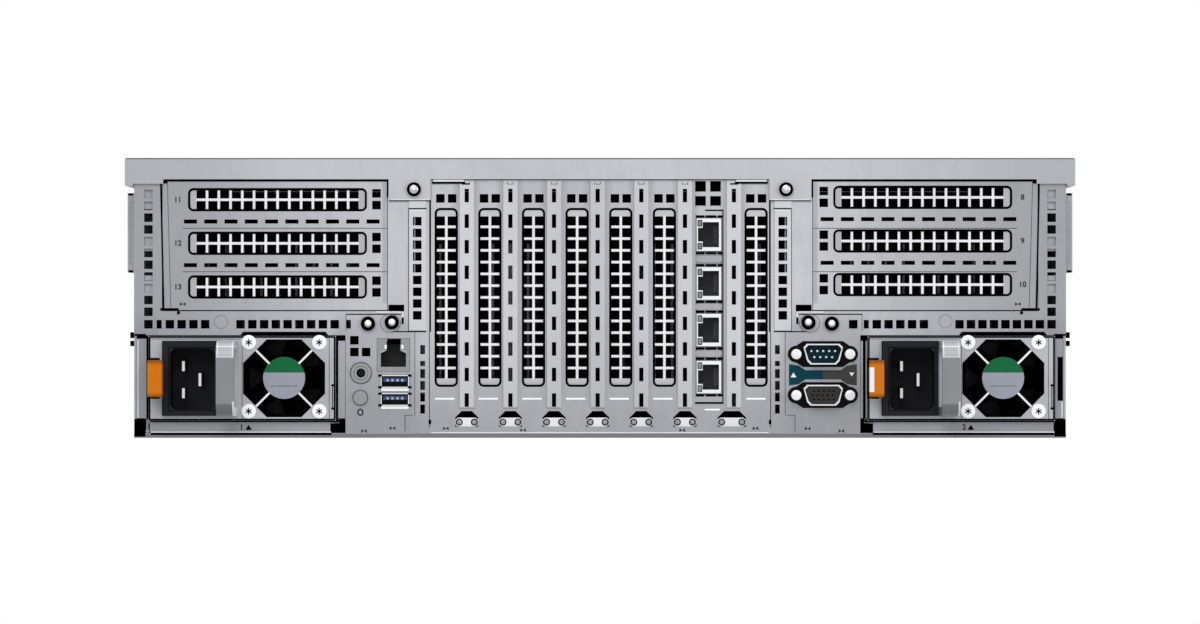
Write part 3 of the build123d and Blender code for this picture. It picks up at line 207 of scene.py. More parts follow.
class Finish(Graph):
    """One material: a principled shader whose inputs follow the place on the object, in metres."""

    def __init__(self, name, **constants):
        self.name = name
        self.material = bpy.data.materials.new(name)
        self.material.use_nodes = True
        super().__init__(self.material.node_tree)
        self.shader = self.tree.nodes["Principled BSDF"]
        self.place = self.node("ShaderNodeTexCoord").outputs["Object"]
        split = self.node("ShaderNodeSeparateXYZ", {}, {0: self.place})
        self.x, self.y, self.z = (Signal(self, socket) for socket in split.outputs)
        self.give(**constants)

    def give(self, **inputs):
        """Sets shader inputs, named with an underscore for each space."""
        for name, value in inputs.items():
            self.feed(self.shader.inputs[name.replace("_", " ")], value)

    def noise(self, scale, detail=3.0, stretch=(1.0, 1.0, 1.0)):
        """Even noise from 0 to 1; the scale is in waves to the metre."""
        place = self.node("ShaderNodeVectorMath", {"operation": "MULTIPLY"}, {0: self.place, 1: stretch})
        values = {"Vector": place.outputs[0], "Scale": scale, "Detail": detail}
        return Signal(self, self.node("ShaderNodeTexNoise", {}, values).outputs["Fac"])

    def blend(self, first, second, share):
        """Goes from the first colour to the second as the share goes from 0 to 1."""
        made = self.node(
            "ShaderNodeMix",
            {"data_type": "RGBA", "clamp_factor": True},
            {0: share, 6: shade(first), 7: shade(second)},
        )
        return made.outputs[2]

    def start(self, dark, light, share):
        self.colour = self.blend(dark, light, share)

    def grained(self, dark, light, scale=900.0):
        """Starts with a colour that follows one grain, and gives back the grain."""
        grain = self.noise(scale)
        self.start(dark, light, grain)
        return grain

    def cloudy(self, dark, light, stretch=(1, 1, 1)):
        """Starts with a cloudy colour, and gives back the fine grain in it."""
        clouds, grain = self.noise(28.0, 4.0), self.noise(2500.0, 2.0, stretch)
        self.start(dark, light, (clouds * 0.75 + grain * 0.35).rise(0.3, 0.8))
        return grain

    def coat(self, colour, share):
        """Lays a colour over the one so far, as far as the share says."""
        self.colour = self.blend(self.colour, colour, share)

    def close(self, rough, height, depth=0.00004):
        """Gives the shader its colour, its roughness and a bump."""
        bump = self.node("ShaderNodeBump", {}, {"Height": height, "Distance": depth, "Strength": 1.0})
        self.give(Base_Color=self.colour, Roughness=rough, Normal=bump.outputs["Normal"])
        FINISHES[self.name] = self.material


FINISHES = {}


def plain_finish(name, dark, light, rough, depth=0.00004, stretch=(1, 1, 1), **constants):
    """A finish with cloudy colour, a fine grain and roughness that follows the grain."""
    finish = Finish(name, **constants)
    grain = finish.cloudy(dark, light, stretch)
    finish.close(grain * 0.12 + (rough - 0.06), grain, depth)


def sheet_finish(name, dark, light, marks):
    """Zinc-coated steel: pale clouds, rolled grain, and the painted light and shade with the bumps that a
    callback adds.
    """
    finish = Finish(name, Metallic=0.3)
    clouds = finish.noise(16.0, 4.0, (1.0, 1.0, 0.6))
    spangle = finish.noise(260.0, 2.0, (1.0, 1.0, 0.35))
    rolled = finish.noise(1500.0, 2.0, (1.0, 1.0, 0.08))
    finish.start(dark, light, (clouds * 0.7 + spangle * 0.3).rise(0.25, 0.75))
    # Some callbacks paint light and shade into the colour; each gives back a height for the bump
    height = marks(finish)
    finish.close(spangle * 0.16 + 0.36, rolled * 0.02 + height, 0.0006)


def bare_marks(finish):
    return finish.noise(40.0) * 0.02


def tray_marks(finish):
    """The folded lower edge at the rear lies in its own shade."""
    rear = finish.y.fall(-0.3759, -0.3757)
    finish.coat((116, 115, 120), rear * finish.z.fall(0.0019, 0.0021))
    return bare_marks(finish)


def rear_painted_light(finish):
    """Painted light and shade: paler towards the middle, with painted highlights on the raised ribs and
    strips, and painted shade at the sides, the foot, the rail ends, the port panels, the riser edges, beside
    each rib and over the middle of the bracket; the raised parts also give a bump.
    """
    x, z, aside = finish.x, finish.z, abs(finish.x)
    ribs, rib_flank_shade = 0.0, 0.0
    for rib in RIBS:
        ribs = x.near(rib * MM, 0.0034, 0.0002) + ribs
        rib_flank_shade = x.near(rib * MM, 0.0058, 0.0018) + rib_flank_shade
    bracket = z.rise(0.0138, 0.0144) * x.near(0.0, 0.0795)
    strips = aside.near(0.0851, 0.0039) * z.near(0.0801, 0.0302)
    raised = (ribs * bracket).most(strips)
    rib_flank_shade = (rib_flank_shade - ribs) * bracket * z.rise(0.012, 0.03)
    rail_ends = aside.rise(0.2055, 0.2065) * z.fall(0.05, 0.06)
    port_panel_shade = aside.near(0.1045, 0.019, 0.004) * z.fall(0.05, 0.062)
    riser_edge_shade = aside.near(0.1002, 0.0011, 0.0006) * z.rise(0.0615, 0.064)
    # Painted shade: greyer towards the sides, at the foot, at the rail ends, beside each rib, on the port
    # panels and along the riser edges
    finish.coat((134, 136, 141), aside.rise(0.09, 0.205) * 0.7)
    finish.coat((128, 130, 135), z.fall(0.002, 0.055) * 0.55)
    finish.coat((140, 142, 148), rail_ends * 0.7)
    finish.coat((138, 140, 146), rib_flank_shade * 0.5)
    finish.coat((134, 136, 141), port_panel_shade * 0.42)
    finish.coat((138, 140, 145), riser_edge_shade * 0.5)
    # Painted shade over the middle of the bracket
    finish.coat((160, 162, 167), aside.fall(0.0, 0.06) * bracket * 0.4)
    # Painted highlight on the raised ribs and strips, stronger towards the sides
    finish.coat((204, 206, 211), raised * (aside * 5.0 + 0.3))
    return raised * 0.4


def blank_painted_shade(finish):
    """Bright webs with painted shade round the square holes that widens their dark openings, greyer plain
    ends, and painted shade low on the upright blanks.
    """
    x, z, aside, pitch, step = finish.x, finish.z, abs(finish.x), 0.00548, 0.02032
    level = aside.rise(0.09, 0.1)
    upright = 1.0 - level
    along = (z - SLOT_MID_Z * MM) * upright + (aside + LEFT_ROW_X * MM) * level
    across = ((x - x.rise(0.0615, 0.0616) * 0.00206 + 0.08176).wrap(step) - step / 2) * upright
    across = ((z - x.rise(-0.001, 0.001) * 0.0011 - 0.0601).wrap(step) - step / 2) * level + across
    webs = abs((along + pitch / 2).wrap(pitch) - pitch / 2).fall(0.00052, 0.00062)
    webs = webs.most(abs(across).fall(0.00052, 0.00062))
    plain = abs(along).rise(0.0378, 0.0379)
    finish.coat((172, 173, 175), plain * level)
    finish.coat((190, 191, 194), plain * upright)
    # Painted shade low on the upright blanks
    finish.coat((150, 151, 154), z.fall(0.022, 0.0282) * upright * plain)
    # Painted shade: black round each square hole, leaving only thin webs
    finish.coat((8, 8, 9), (1.0 - webs) * (1.0 - plain))
    return bare_marks(finish)


def cover_painted_shade(finish):
    """A thin line of painted shade where the band folds over, seen from the rear, and painted shade that
    darkens the band slowly towards its ends.
    """
    rear = finish.y.fall(-0.3772, -0.3766)
    # Painted shade towards the band's ends, and along its fold below
    finish.coat((158, 161, 168), abs(finish.x).rise(0.12, 0.22) * rear * 0.75)
    finish.coat((84, 86, 92), finish.z.near(0.1302, 0.0005, 0.0002) * rear * 0.9)
    return finish.noise(30.0) * 0.02


def socket_finish(name, rim, inside, mouth):
    """A socket with a pale rim at its mouth and a dark hollow behind it."""
    finish = Finish(name, Metallic=0.2)
    grain = finish.grained(dimmed(rim, 0.93), rim)
    hollow = finish.y.rise(mouth * MM, (mouth + 0.08) * MM)
    finish.coat(finish.blend(dimmed(inside, 0.7), inside, grain), hollow)
    finish.close(grain * 0.15 + 0.34, grain, 0.00002)


def usb_finish(name):
    """Bright folded shells, black inside, each with a blue tongue."""
    finish = Finish(name, Metallic=0.3)
    grain = finish.grained((214, 216, 221), (232, 234, 238))
    hollow = finish.y.rise(-0.37635, -0.37625)
    tongues = 0.0
    for z in USB_ZS:
        tongues = finish.z.near((z + 0.75) * MM, 0.00098, 0.00005) + tongues
    tongues = tongues * finish.x.near(USB_X * MM, 0.0056, 0.0001) * hollow
    finish.coat((12, 13, 17), hollow)
    finish.coat(finish.blend((34, 54, 96), (62, 84, 132), grain), tongues)
    finish.close(grain * 0.15 + 0.3, grain, 0.00002)


def plug_finish(name, height, insert):
    """A D-shaped socket: bright shell and posts on a black flange, with a coloured insert."""
    finish = Finish(name, Specular_IOR_Level=0.12)
    grain = finish.grained((206, 208, 212), (228, 230, 233))
    inner = finish.x.near(PORT_X * MM, 0.0086, 0.00005) * finish.z.near(height * MM, 0.0043, 0.00005)
    inner = inner * finish.y.rise(-0.3815, -0.3814)
    finish.coat(finish.blend(dimmed(insert, 0.8), insert, grain), inner)
    finish.coat((5, 5, 6), finish.y.rise(-0.37515, -0.37505))
    finish.close(grain * 0.15 + 0.32, grain, 0.00002)


def label_finish(name, upper, lower, split):
    """A printed label with an upper and a lower half, and the faint tooth of its paper."""
    finish = Finish(name, Specular_IOR_Level=0.1)
    worn = finish.noise(180.0)
    finish.start(lower, upper, finish.z.rise(split - 0.0002, split + 0.0002))
    finish.coat((120, 122, 125), worn * 0.06)
    finish.close(0.6, finish.noise(3000.0), 0.00002)


def board_finish(name):
    """A circuit board: green mask with copper tracks showing through as lighter lines."""
    finish = Finish(name, Coat_Weight=0.3)
    finish.grained((22, 66, 48), (34, 96, 68), 30.0)
    lanes = finish.y.wrap(0.0031).near(0.0015, 0.0003, 0.0001)
    cross = finish.x.wrap(0.0043).near(0.0021, 0.0003, 0.0001)
    patch = finish.noise(45.0, 1.0).rise(0.48, 0.52)
    tracks = (lanes * patch).most(cross * (1.0 - patch))
    finish.coat((64, 140, 96), tracks * 0.7)
    finish.close(finish.noise(400.0) * 0.15 + 0.3, tracks, 0.00005)


def supply_across(finish):
    """Distance to the right of the left edge of the supply that the place is in."""
    first, second = (left * MM for left, fan in SUPPLIES.values())
    return (finish.x - first).wrap(second - first)


def handle_finish(name):
    """Smoke-grey moulded plastic with a cloudy middle, its top pad painted paler as painted light and its
    foot painted darker as painted shade, with painted highlights along the pad's edges and in one streak.
    """
    finish = Finish(name, Transmission_Weight=0.15, IOR=1.46)
    cloud = finish.grained((126, 128, 132), (150, 152, 156), 60.0)
    z, across = finish.z, supply_across(finish)
    # Painted light on the top pad and painted shade on the foot, where the loop turns towards and away from
    # the lamps
    pad = z.rise(0.0376, 0.0378)
    finish.coat((172, 176, 181), pad)
    finish.coat((104, 106, 111), z.fall(0.0158, 0.0164) * 0.8)
    # Painted highlights along the pad's edges and in a short upright streak
    rim = across.near(0.0372, 0.0037, 0.00005) - across.near(0.0372, 0.0033, 0.00005)
    rim = rim * pad + (pad - z.rise(0.038, 0.0381)) + z.near(0.0427, 0.0002, 0.00005)
    shine = across.near(0.0410, 0.0004, 0.0001) * z.near(0.0139, 0.0034, 0.0001)
    finish.coat((226, 229, 233), rim.most(shine).least(1.0))
    finish.close(cloud * 0.12 + 0.28, finish.noise(1800.0), 0.00003)


def supply_finish(name):
    """Plated sheet of a supply's case, with painted shade that makes the inside black."""
    finish = Finish(name, Metallic=0.3)
    grain = finish.cloudy((158, 161, 167), (182, 184, 189))
    # Painted shade: the inside of the case, seen between the fan blades, is painted black
    inside = supply_across(finish).near(0.0435, 0.043, 0.0001)
    inside = inside * finish.z.near(SUPPLY_MID_Z * MM, 0.0191, 0.0001) * finish.y.rise(-0.3774, -0.3768)
    finish.coat((6, 6, 7), inside)
    finish.close(grain * 0.12 + 0.36, grain)


def latch_finish(name, light):
    """Orange moulded plastic, with painted shade that browns both ends of the release tab, and a pale stop
    beside it.
    """
    finish = Finish(name, Specular_IOR_Level=0.15)
    grain = finish.grained((184, 102, 0), light, 1600.0)
    # Painted shade: the tab browns towards both ends, where it rounds away from the light
    middle = finish.z.near(0.02765, 0.0072, 0.0012)
    finish.start((138, 76, 6), finish.colour, middle)
    stop = finish.x.near(0.1258, 0.0012, 0.00005) * finish.z.near(0.0273, 0.0057, 0.00005)
    finish.coat((228, 229, 232), stop)
    finish.close(grain * 0.12 + 0.42, grain)


# Name, dark and light colour, roughness, and what else a plain finish needs
PLAIN_FINISHES = (
    ("black_plastic", (26, 26, 29), (44, 44, 48), 0.5, {}),
    ("grey_plastic", (128, 130, 132), (150, 152, 153), 0.45, {}),
    ("lamp_grey", (112, 113, 117), (140, 141, 146), 0.35, {}),
    ("print_white", (236, 237, 240), (252, 252, 253), 0.5, {}),
    ("pale_edge", (208, 210, 214), (230, 231, 234), 0.4, {"depth": 0.00001}),
    ("nickel", (180, 182, 186), (222, 223, 226), 0.24, {"Metallic": 0.8, "depth": 0.00001}),
    ("bright_metal", (226, 228, 231), (248, 249, 250), 0.28, {"Metallic": 0.2, "depth": 0.00001}),
    ("aluminium", (168, 170, 174), (204, 206, 210), 0.34, {"Metallic": 0.9, "stretch": (1, 1, 0.1)}),
    ("inlet_plastic", (21, 22, 29), (31, 32, 40), 0.5, {"Specular_IOR_Level": 0.2}),
    ("socket_black", (8, 8, 10), (16, 16, 18), 0.6, {"Specular_IOR_Level": 0.15}),
    ("teal_plastic", (0, 58, 68), (0, 70, 80), 0.6, {"Specular_IOR_Level": 0.1}),
    ("port_grey", (66, 66, 64), (78, 77, 75), 0.6, {"Specular_IOR_Level": 0.1}),
    ("line_grey", (78, 80, 86), (96, 98, 104), 0.7, {"Specular_IOR_Level": 0.1}),
    ("print_dark", (40, 42, 48), (56, 58, 64), 0.6, {"Specular_IOR_Level": 0.1}),
    ("supply_black", (3, 3, 4), (8, 8, 9), 0.7, {"Specular_IOR_Level": 0.0}),
    ("fan_black", (3, 3, 4), (9, 9, 10), 0.7, {"Specular_IOR_Level": 0.0}),
    # Black for real dark gaps and joints, and for marks and sheets of painted shade
    ("gap_black", (2, 2, 3), (6, 6, 7), 0.9, {"Specular_IOR_Level": 0.0}),
)


def make_finishes(colours):
    for name, dark, light, rough, more in PLAIN_FINISHES:
        plain_finish(name, dark, light, rough, **more)
    sheet_finish("zinc_sheet", (146, 149, 154), (172, 174, 179), bare_marks)
    sheet_finish("tray_sheet", (146, 149, 154), (172, 174, 179), tray_marks)
    sheet_finish("rear_sheet", (176, 178, 183), tuple(colours.sheet), rear_painted_light)
    sheet_finish("blank_sheet", (214, 215, 218), (236, 237, 239), blank_painted_shade)
    sheet_finish("cover_paint", (178, 180, 185), tuple(colours.cover), cover_painted_shade)
    socket_finish("network_socket", (240, 241, 243), (74, 74, 79), -376.35)
    socket_finish("management_socket", (146, 148, 153), (42, 42, 47), -376.1)
    usb_finish("usb_shell")
    plug_finish("serial_plug", SERIAL_Z, (0, 66, 82))
    plug_finish("vga_plug", VGA_Z, (58, 56, 54))
    board_finish("board_green")
    handle_finish("smoke_handle")
    supply_finish("supply_grey")
    latch_finish("orange_plastic", tuple(colours.release_tab))
    label_finish("hub_label", tuple(colours.fan_label), (146, 150, 162), 0.0304)


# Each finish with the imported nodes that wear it
NODE_FINISHES = spread({
    "tray_sheet": "chassis_tray",
    "rear_sheet": "rear_panel slot_bracket riser_cage_left riser_cage_right network_card psu_bays",
    "blank_sheet": "slot_covers",
    "zinc_sheet": "side_rails fan_cage drive_cage",
    "cover_paint": "top_cover",
    "network_socket": "network_jacks",
    "management_socket": "management_jack",
    "usb_shell": "usb_ports",
    "serial_plug": "serial_port",
    "vga_plug": "vga_port",
    "socket_black": "rear_screws cover_screws power_sockets card_sockets",
    "board_green": "system_board riser_boards memory_modules backplane",
    "aluminium": "heat_sinks",
    "black_plastic": "air_shroud front_grille drive_blanks ear_left ear_right cover_latch "
    "drive_1 drive_2 drive_3",
    "grey_plastic": "id_jack rear_id_button power_button drive_1_lever drive_2_lever drive_3_lever",
    "orange_plastic": "psu_left_latch psu_right_latch drive_1_button drive_2_button drive_3_button",
    "fan_black": "fan_frames fan_1 fan_2 fan_3 psu_left_fan psu_right_fan",
    "supply_grey": "psu_left_case psu_right_case",
    "supply_black": "psu_left_fan_frame psu_right_fan_frame",
    "inlet_plastic": "psu_left_inlet psu_right_inlet",
    "smoke_handle": "psu_left_handle psu_right_handle",
})


class Plan(Graph):
    """A geometry tree that sets one shape, facing the rear, at every point it is given."""

    def __init__(self, name, sizes):
        super().__init__(bpy.data.node_groups.new(name, "GeometryNodeTree"))
        self.ids = {}
        self.socket("Points", "NodeSocketGeometry")
        for label, value in sizes.items():
            kind = "NodeSocketInt" if isinstance(value, int) else "NodeSocketFloat"
            self.socket(label, kind).default_value = value
        self.socket("Turn", "NodeSocketVector").default_value = (0.0, 0.0, 0.0)
        self.socket("Finish", "NodeSocketMaterial")
        self.tree.interface.new_socket(name="Made", in_out="OUTPUT", socket_type="NodeSocketGeometry")
        self.given = self.node("NodeGroupInput").outputs

    def socket(self, label, kind):
        made = self.tree.interface.new_socket(name=label, in_out="INPUT", socket_type=kind)
        self.ids[label] = made.identifier
        return made

    def sizes(self, *labels):
        return (Signal(self, self.given[label]) for label in labels)

    def made(self, kind, settings=None, **values):
        """Adds a node and gives back what it makes; an underscore stands for a space."""
        named = {label.replace("_", " "): value for label, value in values.items()}
        return self.node(kind, settings, named).outputs[0]

    def vector(self, x, y, z):
        return self.made("ShaderNodeCombineXYZ", X=x, Y=y, Z=z)

    def outline(self, width, height, corner):
        """A rectangle with rounded corners."""
        square = self.made(
            "GeometryNodeCurvePrimitiveQuadrilateral", {"mode": "RECTANGLE"}, Width=width, Height=height
        )
        return self.made(
            "GeometryNodeFilletCurve", {"mode": "POLY"},
            Curve=square, Count=5, Radius=corner, Limit_Radius=True,
        )

    def joined(self, *parts):
        made = self.node("GeometryNodeJoinGeometry")
        for part in parts:
            self.feed(made.inputs[0], part)
        return made.outputs[0]

    def raised(self, outline, thick):
        """Fills an outline and raises it, and closes its back with a face that points backwards."""
        filled = self.made("GeometryNodeFillCurve", {"mode": "NGONS"}, Curve=outline)
        upper = self.made(
            "GeometryNodeExtrudeMesh", {"mode": "FACES"},
            Mesh=filled, Offset=self.vector(0.0, 0.0, thick), Offset_Scale=1.0, Individual=False,
        )
        return self.joined(upper, self.made("GeometryNodeFlipFaces", Mesh=filled))

    def moved(self, shape, place=(0, 0, 0), turn=(0, 0, 0), scale=(1, 1, 1)):
        return self.made(
            "GeometryNodeTransform", Geometry=shape, Translation=place, Rotation=turn, Scale=scale
        )

    def post(self, sides, radius, length):
        return self.made(
            "GeometryNodeMeshCone", Vertices=sides, Radius_Top=radius, Radius_Bottom=radius, Depth=length
        )

    def close(self, shape):
        """Stands the shape up to face the rear, sets it at every point and paints it."""
        upright = self.moved(shape, turn=(math.pi / 2, 0, 0))
        placed = self.made(
            "GeometryNodeInstanceOnPoints",
            Points=self.given["Points"], Instance=upright, Rotation=self.given["Turn"],
        )
        real = self.made("GeometryNodeRealizeInstances", Geometry=placed)
        painted = self.made("GeometryNodeSetMaterial", Geometry=real, Material=self.given["Finish"])
        self.node("NodeGroupOutput", {}, {0: painted})
        return self


def plate_plan():
    """A flat plate with rounded corners."""
    plan = Plan("rounded_plate", {"Width": 0.01, "Height": 0.01, "Corner": 0.001, "Thick": 0.001})
    width, height, corner, thick = plan.sizes("Width", "Height", "Corner", "Thick")
    return plan.close(plan.raised(plan.outline(width, height, corner), thick))


def frame_plan():
    """A flat frame with rounded corners; its line lies inside its width and height."""
    sizes = {"Width": 0.01, "Height": 0.01, "Corner": 0.001, "Line": 0.0005, "Thick": 0.0002}
    plan = Plan("rounded_frame", sizes)
    width, height, corner, line, thick = plan.sizes(*sizes)
    outer = plan.outline(width, height, corner)
    inner = plan.outline(width - line * 2.0, height - line * 2.0, (corner - line).most(0.00001))
    return plan.close(plan.raised(plan.joined(outer, inner), thick))


def dome_plan():
    """A low dome on a short turned foot, as on a pan head."""
    plan = Plan("screw_dome", {"Radius": 0.002, "Foot": 0.0004, "Rise": 0.0008, "Sides": 24})
    radius, foot, rise, sides = plan.sizes("Radius", "Foot", "Rise", "Sides")
    ball = plan.made("GeometryNodeMeshUVSphere", Segments=sides, Rings=10, Radius=1.0)
    dome = plan.moved(ball, plan.vector(0.0, 0.0, foot), scale=plan.vector(radius, radius, rise))
    smooth = plan.made("GeometryNodeSetShadeSmooth", Geometry=dome)
    return plan.close(plan.joined(plan.post(sides, radius, foot), smooth))


def pin_plan():
    """A round pin with a rounded tip."""
    plan = Plan("round_pin", {"Radius": 0.0005, "Length": 0.004, "Sides": 10})
    radius, length, sides = plan.sizes("Radius", "Length", "Sides")
    ball = plan.made("GeometryNodeMeshUVSphere", Segments=sides, Rings=6, Radius=radius)
    tip = plan.moved(ball, plan.vector(0.0, 0.0, length))
    return plan.close(plan.joined(plan.post(sides, radius, length), tip))


def recess_plan():
    """The dark arms of a driver recess, three bars set evenly round its middle."""
    plan = Plan("driver_recess", {"Reach": 0.002, "Arm": 0.0005, "Thick": 0.0002})
    reach, arm, thick = plan.sizes("Reach", "Arm", "Thick")
    bar = plan.raised(plan.outline(reach, arm, arm * 0.45), thick)
    bars = (plan.moved(bar, turn=(0, 0, math.radians(angle))) for angle in (30, 90, 150))
    return plan.close(plan.joined(*bars))


PLANS = {}


def make_plans():
    PLANS.update(plate=plate_plan(), frame=frame_plan(), dome=dome_plan())
    PLANS.update(pin=pin_plan(), recess=recess_plan())


def baked(holder):
    """Turns an object with its modifiers into a plain mesh, and removes the object."""
    bpy.context.scene.collection.objects.link(holder)
    view = bpy.context.evaluated_depsgraph_get()
    mesh = bpy.data.meshes.new_from_object(holder.evaluated_get(view))
    bpy.data.objects.remove(holder)
    return mesh


def settle(name, mesh, finish, body):
    """Links a finished mesh as a piece that rides on a body."""
    piece = bpy.data.objects.new(name, mesh)
    bpy.context.scene.collection.objects.link(piece)
    mesh.materials.clear()
    mesh.materials.append(FINISHES[finish])
    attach(piece, body)


def rows(name, plan, spots, finish, body="root", **sizes):
    """One piece made by a plan at every spot; spots and sizes are in millimetres, and counts are whole."""
    places = bpy.data.meshes.new(name + "_points")
    places.from_pydata([metres(*spot) for spot in spots], [], [])
    holder = bpy.data.objects.new(name + "_points", places)
    modifier = holder.modifiers.new(name, "NODES")
    modifier.node_group = PLANS[plan].tree
    ids = PLANS[plan].ids
    for label, value in sizes.items():
        modifier[ids[label.capitalize()]] = value if isinstance(value, int) else value * MM
    modifier[ids["Finish"]] = FINISHES[finish]
    mesh = baked(holder)
    if not mesh.polygons:
        raise RuntimeError(f"the plan made nothing for {name}")
    settle(name, mesh, finish, body)


def rings(name, spots, finish, across, line, thick=0.05, body="root"):
    """Flat round rings; the line lies inside the width across."""
    size = {"width": across, "height": across, "corner": across / 2}
    rows(name, "frame", spots, finish, body, line=line, thick=thick, **size)


def points(shape):
    """The outline of a shape: a list of points as it is, or the sides of a rectangle as its corners."""
    if isinstance(shape, list):
        return shape
    left, right, low, high = shape
    return [(left, low), (right, low), (right, high), (left, high)]


def both(*shapes):
    """Each shape's outline and its mirror image on the other side of the object."""
    return [[(side * x, z) for x, z in points(shape)] for shape in shapes for side in SIDES]


def slab(name, shapes, back, front, finish, body="root"):
    """Flat shapes in X and Z, raised from the back to the front depth."""
    vertices, faces = [], []
    for outline in map(points, shapes):
        turns = zip(outline, outline[1:] + outline[:1])
        if sum(a[0] * b[1] - b[0] * a[1] for a, b in turns) < 0:
            outline = outline[::-1]
        start, count = len(vertices), len(outline)
        vertices += [metres(x, depth, z) for depth in (back, front) for x, z in outline]
        faces.append([start + index for index in reversed(range(count))])
        faces.append([start + count + index for index in range(count)])
        for index in range(count):
            after = (index + 1) % count
            faces.append([start + index, start + after, start + count + after, start + count + index])
    mesh = bpy.data.meshes.new(name)
    mesh.from_pydata(vertices, [], faces)
    mesh.validate()
    settle(name, mesh, finish, body)


def mark(name, shapes, finish, thick=0.05, face=WALL_Y, body="root"):
    """Flat shapes that stand a little off a face."""
    slab(name, shapes, face, face - thick, finish, body)


def figures(name, numbers, size):
    """Plain numbers on the rear wall, each at its middle in X and Z."""
    vertices, faces = [], []
    for text, x, z in numbers:
        curve = bpy.data.curves.new(name, "FONT")
        curve.body = text
        curve.size = size * MM
        curve.extrude = 0.04 * MM
        curve.offset = 0.09 * MM
        curve.align_x = "CENTER"
        curve.align_y = "CENTER"
        mesh = baked(bpy.data.objects.new(name + "_text", curve))
        start = len(vertices)
        middle = Vector(metres(x, WALL_Y - 0.05, z))
        vertices += [tuple(middle + Vector((v.co.x, -v.co.z, v.co.y))) for v in mesh.vertices]
        faces += [[start + index for index in face.vertices] for face in mesh.polygons]
    mesh = bpy.data.meshes.new(name)
    mesh.from_pydata(vertices, [], faces)
    settle(name, mesh, "print_dark", "root")


def arc(x, z, radius, start, end, steps=16):
    """Points on an arc, in degrees from the X axis."""
    angles = (math.radians(start + (end - start) * step / steps) for step in range(steps + 1))
    return [(x + radius * math.cos(angle), z + radius * math.sin(angle)) for angle in angles]


def turned_bar(x, z, inner, outer, half, angle):
    """A bar that runs outwards from a middle, at an angle in degrees."""
    along = Vector((math.cos(math.radians(angle)), math.sin(math.radians(angle))))
    side = Vector((-along.y, along.x))
    ends = ((inner, -half), (outer, -half), (outer, half), (inner, half))
    return [(x + along.x * a + side.x * b, z + along.y * a + side.y * b) for a, b in ends]


def corners(x, z, width, height, radius):
    """The four fillets that turn the square corners of a window into round ones."""
    made = []
    for side, rise, start in ((1, 1, 0), (-1, 1, 90), (-1, -1, 180), (1, -1, 270)):
        corner = (x + side * width / 2, z + rise * height / 2)
        middle = (corner[0] - side * radius, corner[1] - rise * radius)
        made.append([corner] + arc(*middle, radius, start, start + 90, 6))
    return made


class DetailSizes(bpy.types.PropertyGroup):
    """Sizes of the fine detail."""

    # The gap line is a black ring of painted shade on each blank, where the real window edge leaves a dark
    # gap
    gap_shade_line: FloatProperty(
        name="Gap line", description="Width of the dark gap round each window",
        default=1.05 * MM, unit="LENGTH",
    )
    gap_shade_depth: FloatProperty(
        name="Gap depth", description="How far the gap line stands off its blank",
        default=0.2 * MM, unit="LENGTH",
    )
    window_corner: FloatProperty(
        name="Window corner", description="Radius of each window's corners",
        default=2.6 * MM, unit="LENGTH",
    )
    pin_count: IntProperty(
        name="Contacts", description="Spring contacts in a network socket", default=8, min=1
    )


class FinishColours(bpy.types.PropertyGroup):
    """The light colours of the main finishes."""

    sheet: FloatVectorProperty(
        name="Rear sheet", description="Zinc-coated sheet of the rear wall",
        default=shade((194, 196, 201)), subtype="COLOR", size=4, min=0.0, max=1.0,
    )
    cover: FloatVectorProperty(
        name="Cover", description="Paint of the top cover",
        default=shade((190, 192, 197)), subtype="COLOR", size=4, min=0.0, max=1.0,
    )
    release_tab: FloatVectorProperty(
        name="Release tabs", description="Plastic that is touched to release a piece",
        default=shade((212, 118, 0)), subtype="COLOR", size=4, min=0.0, max=1.0,
    )
    fan_label: FloatVectorProperty(
        name="Fan label", description="Upper half of the label on a supply's fan",
        default=shade((0, 98, 58)), subtype="COLOR", size=4, min=0.0, max=1.0,
    )


class StageSizes(bpy.types.PropertyGroup):
    """Camera, lamps and backdrop."""

    distance: FloatProperty(
        name="Distance", description="From the rear wall to the camera", default=3.0, unit="LENGTH"
    )
    view_width: FloatProperty(
        name="View width", description="Width of the view at the rear wall", default=0.5588, unit="LENGTH"
    )
    view_middle: FloatVectorProperty(
        name="View middle", description="Point at the middle of the view", default=(0.0, -0.376, 0.0586),
        subtype="TRANSLATION",
    )
    key_power: FloatProperty(
        name="Key lamp", description="Power of the main lamp", default=29.0, unit="POWER"
    )
    fill_power: FloatProperty(
        name="Fill lamps", description="Power of the side and top lamps", default=12.0, unit="POWER"
    )
    world_light: FloatProperty(
        name="Room light", description="Strength of the light from all round", default=0.66
    )


class SERVER_OT_finishes(bpy.types.Operator):
    """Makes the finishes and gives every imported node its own"""

    bl_idname = "server.finishes"
    bl_label = "Finishes"

    def execute(self, context):
        make_finishes(context.scene.server_colours)
        make_plans()
        missing = set(frame["nodes"]) - set(NODE_FINISHES)
        if missing:
            raise RuntimeError(f"nodes without a finish: {sorted(missing)}")
        for name, piece in frame["nodes"].items():
            piece.data.materials.clear()
            piece.data.materials.append(FINISHES[NODE_FINISHES[name]])
        return {"FINISHED"}


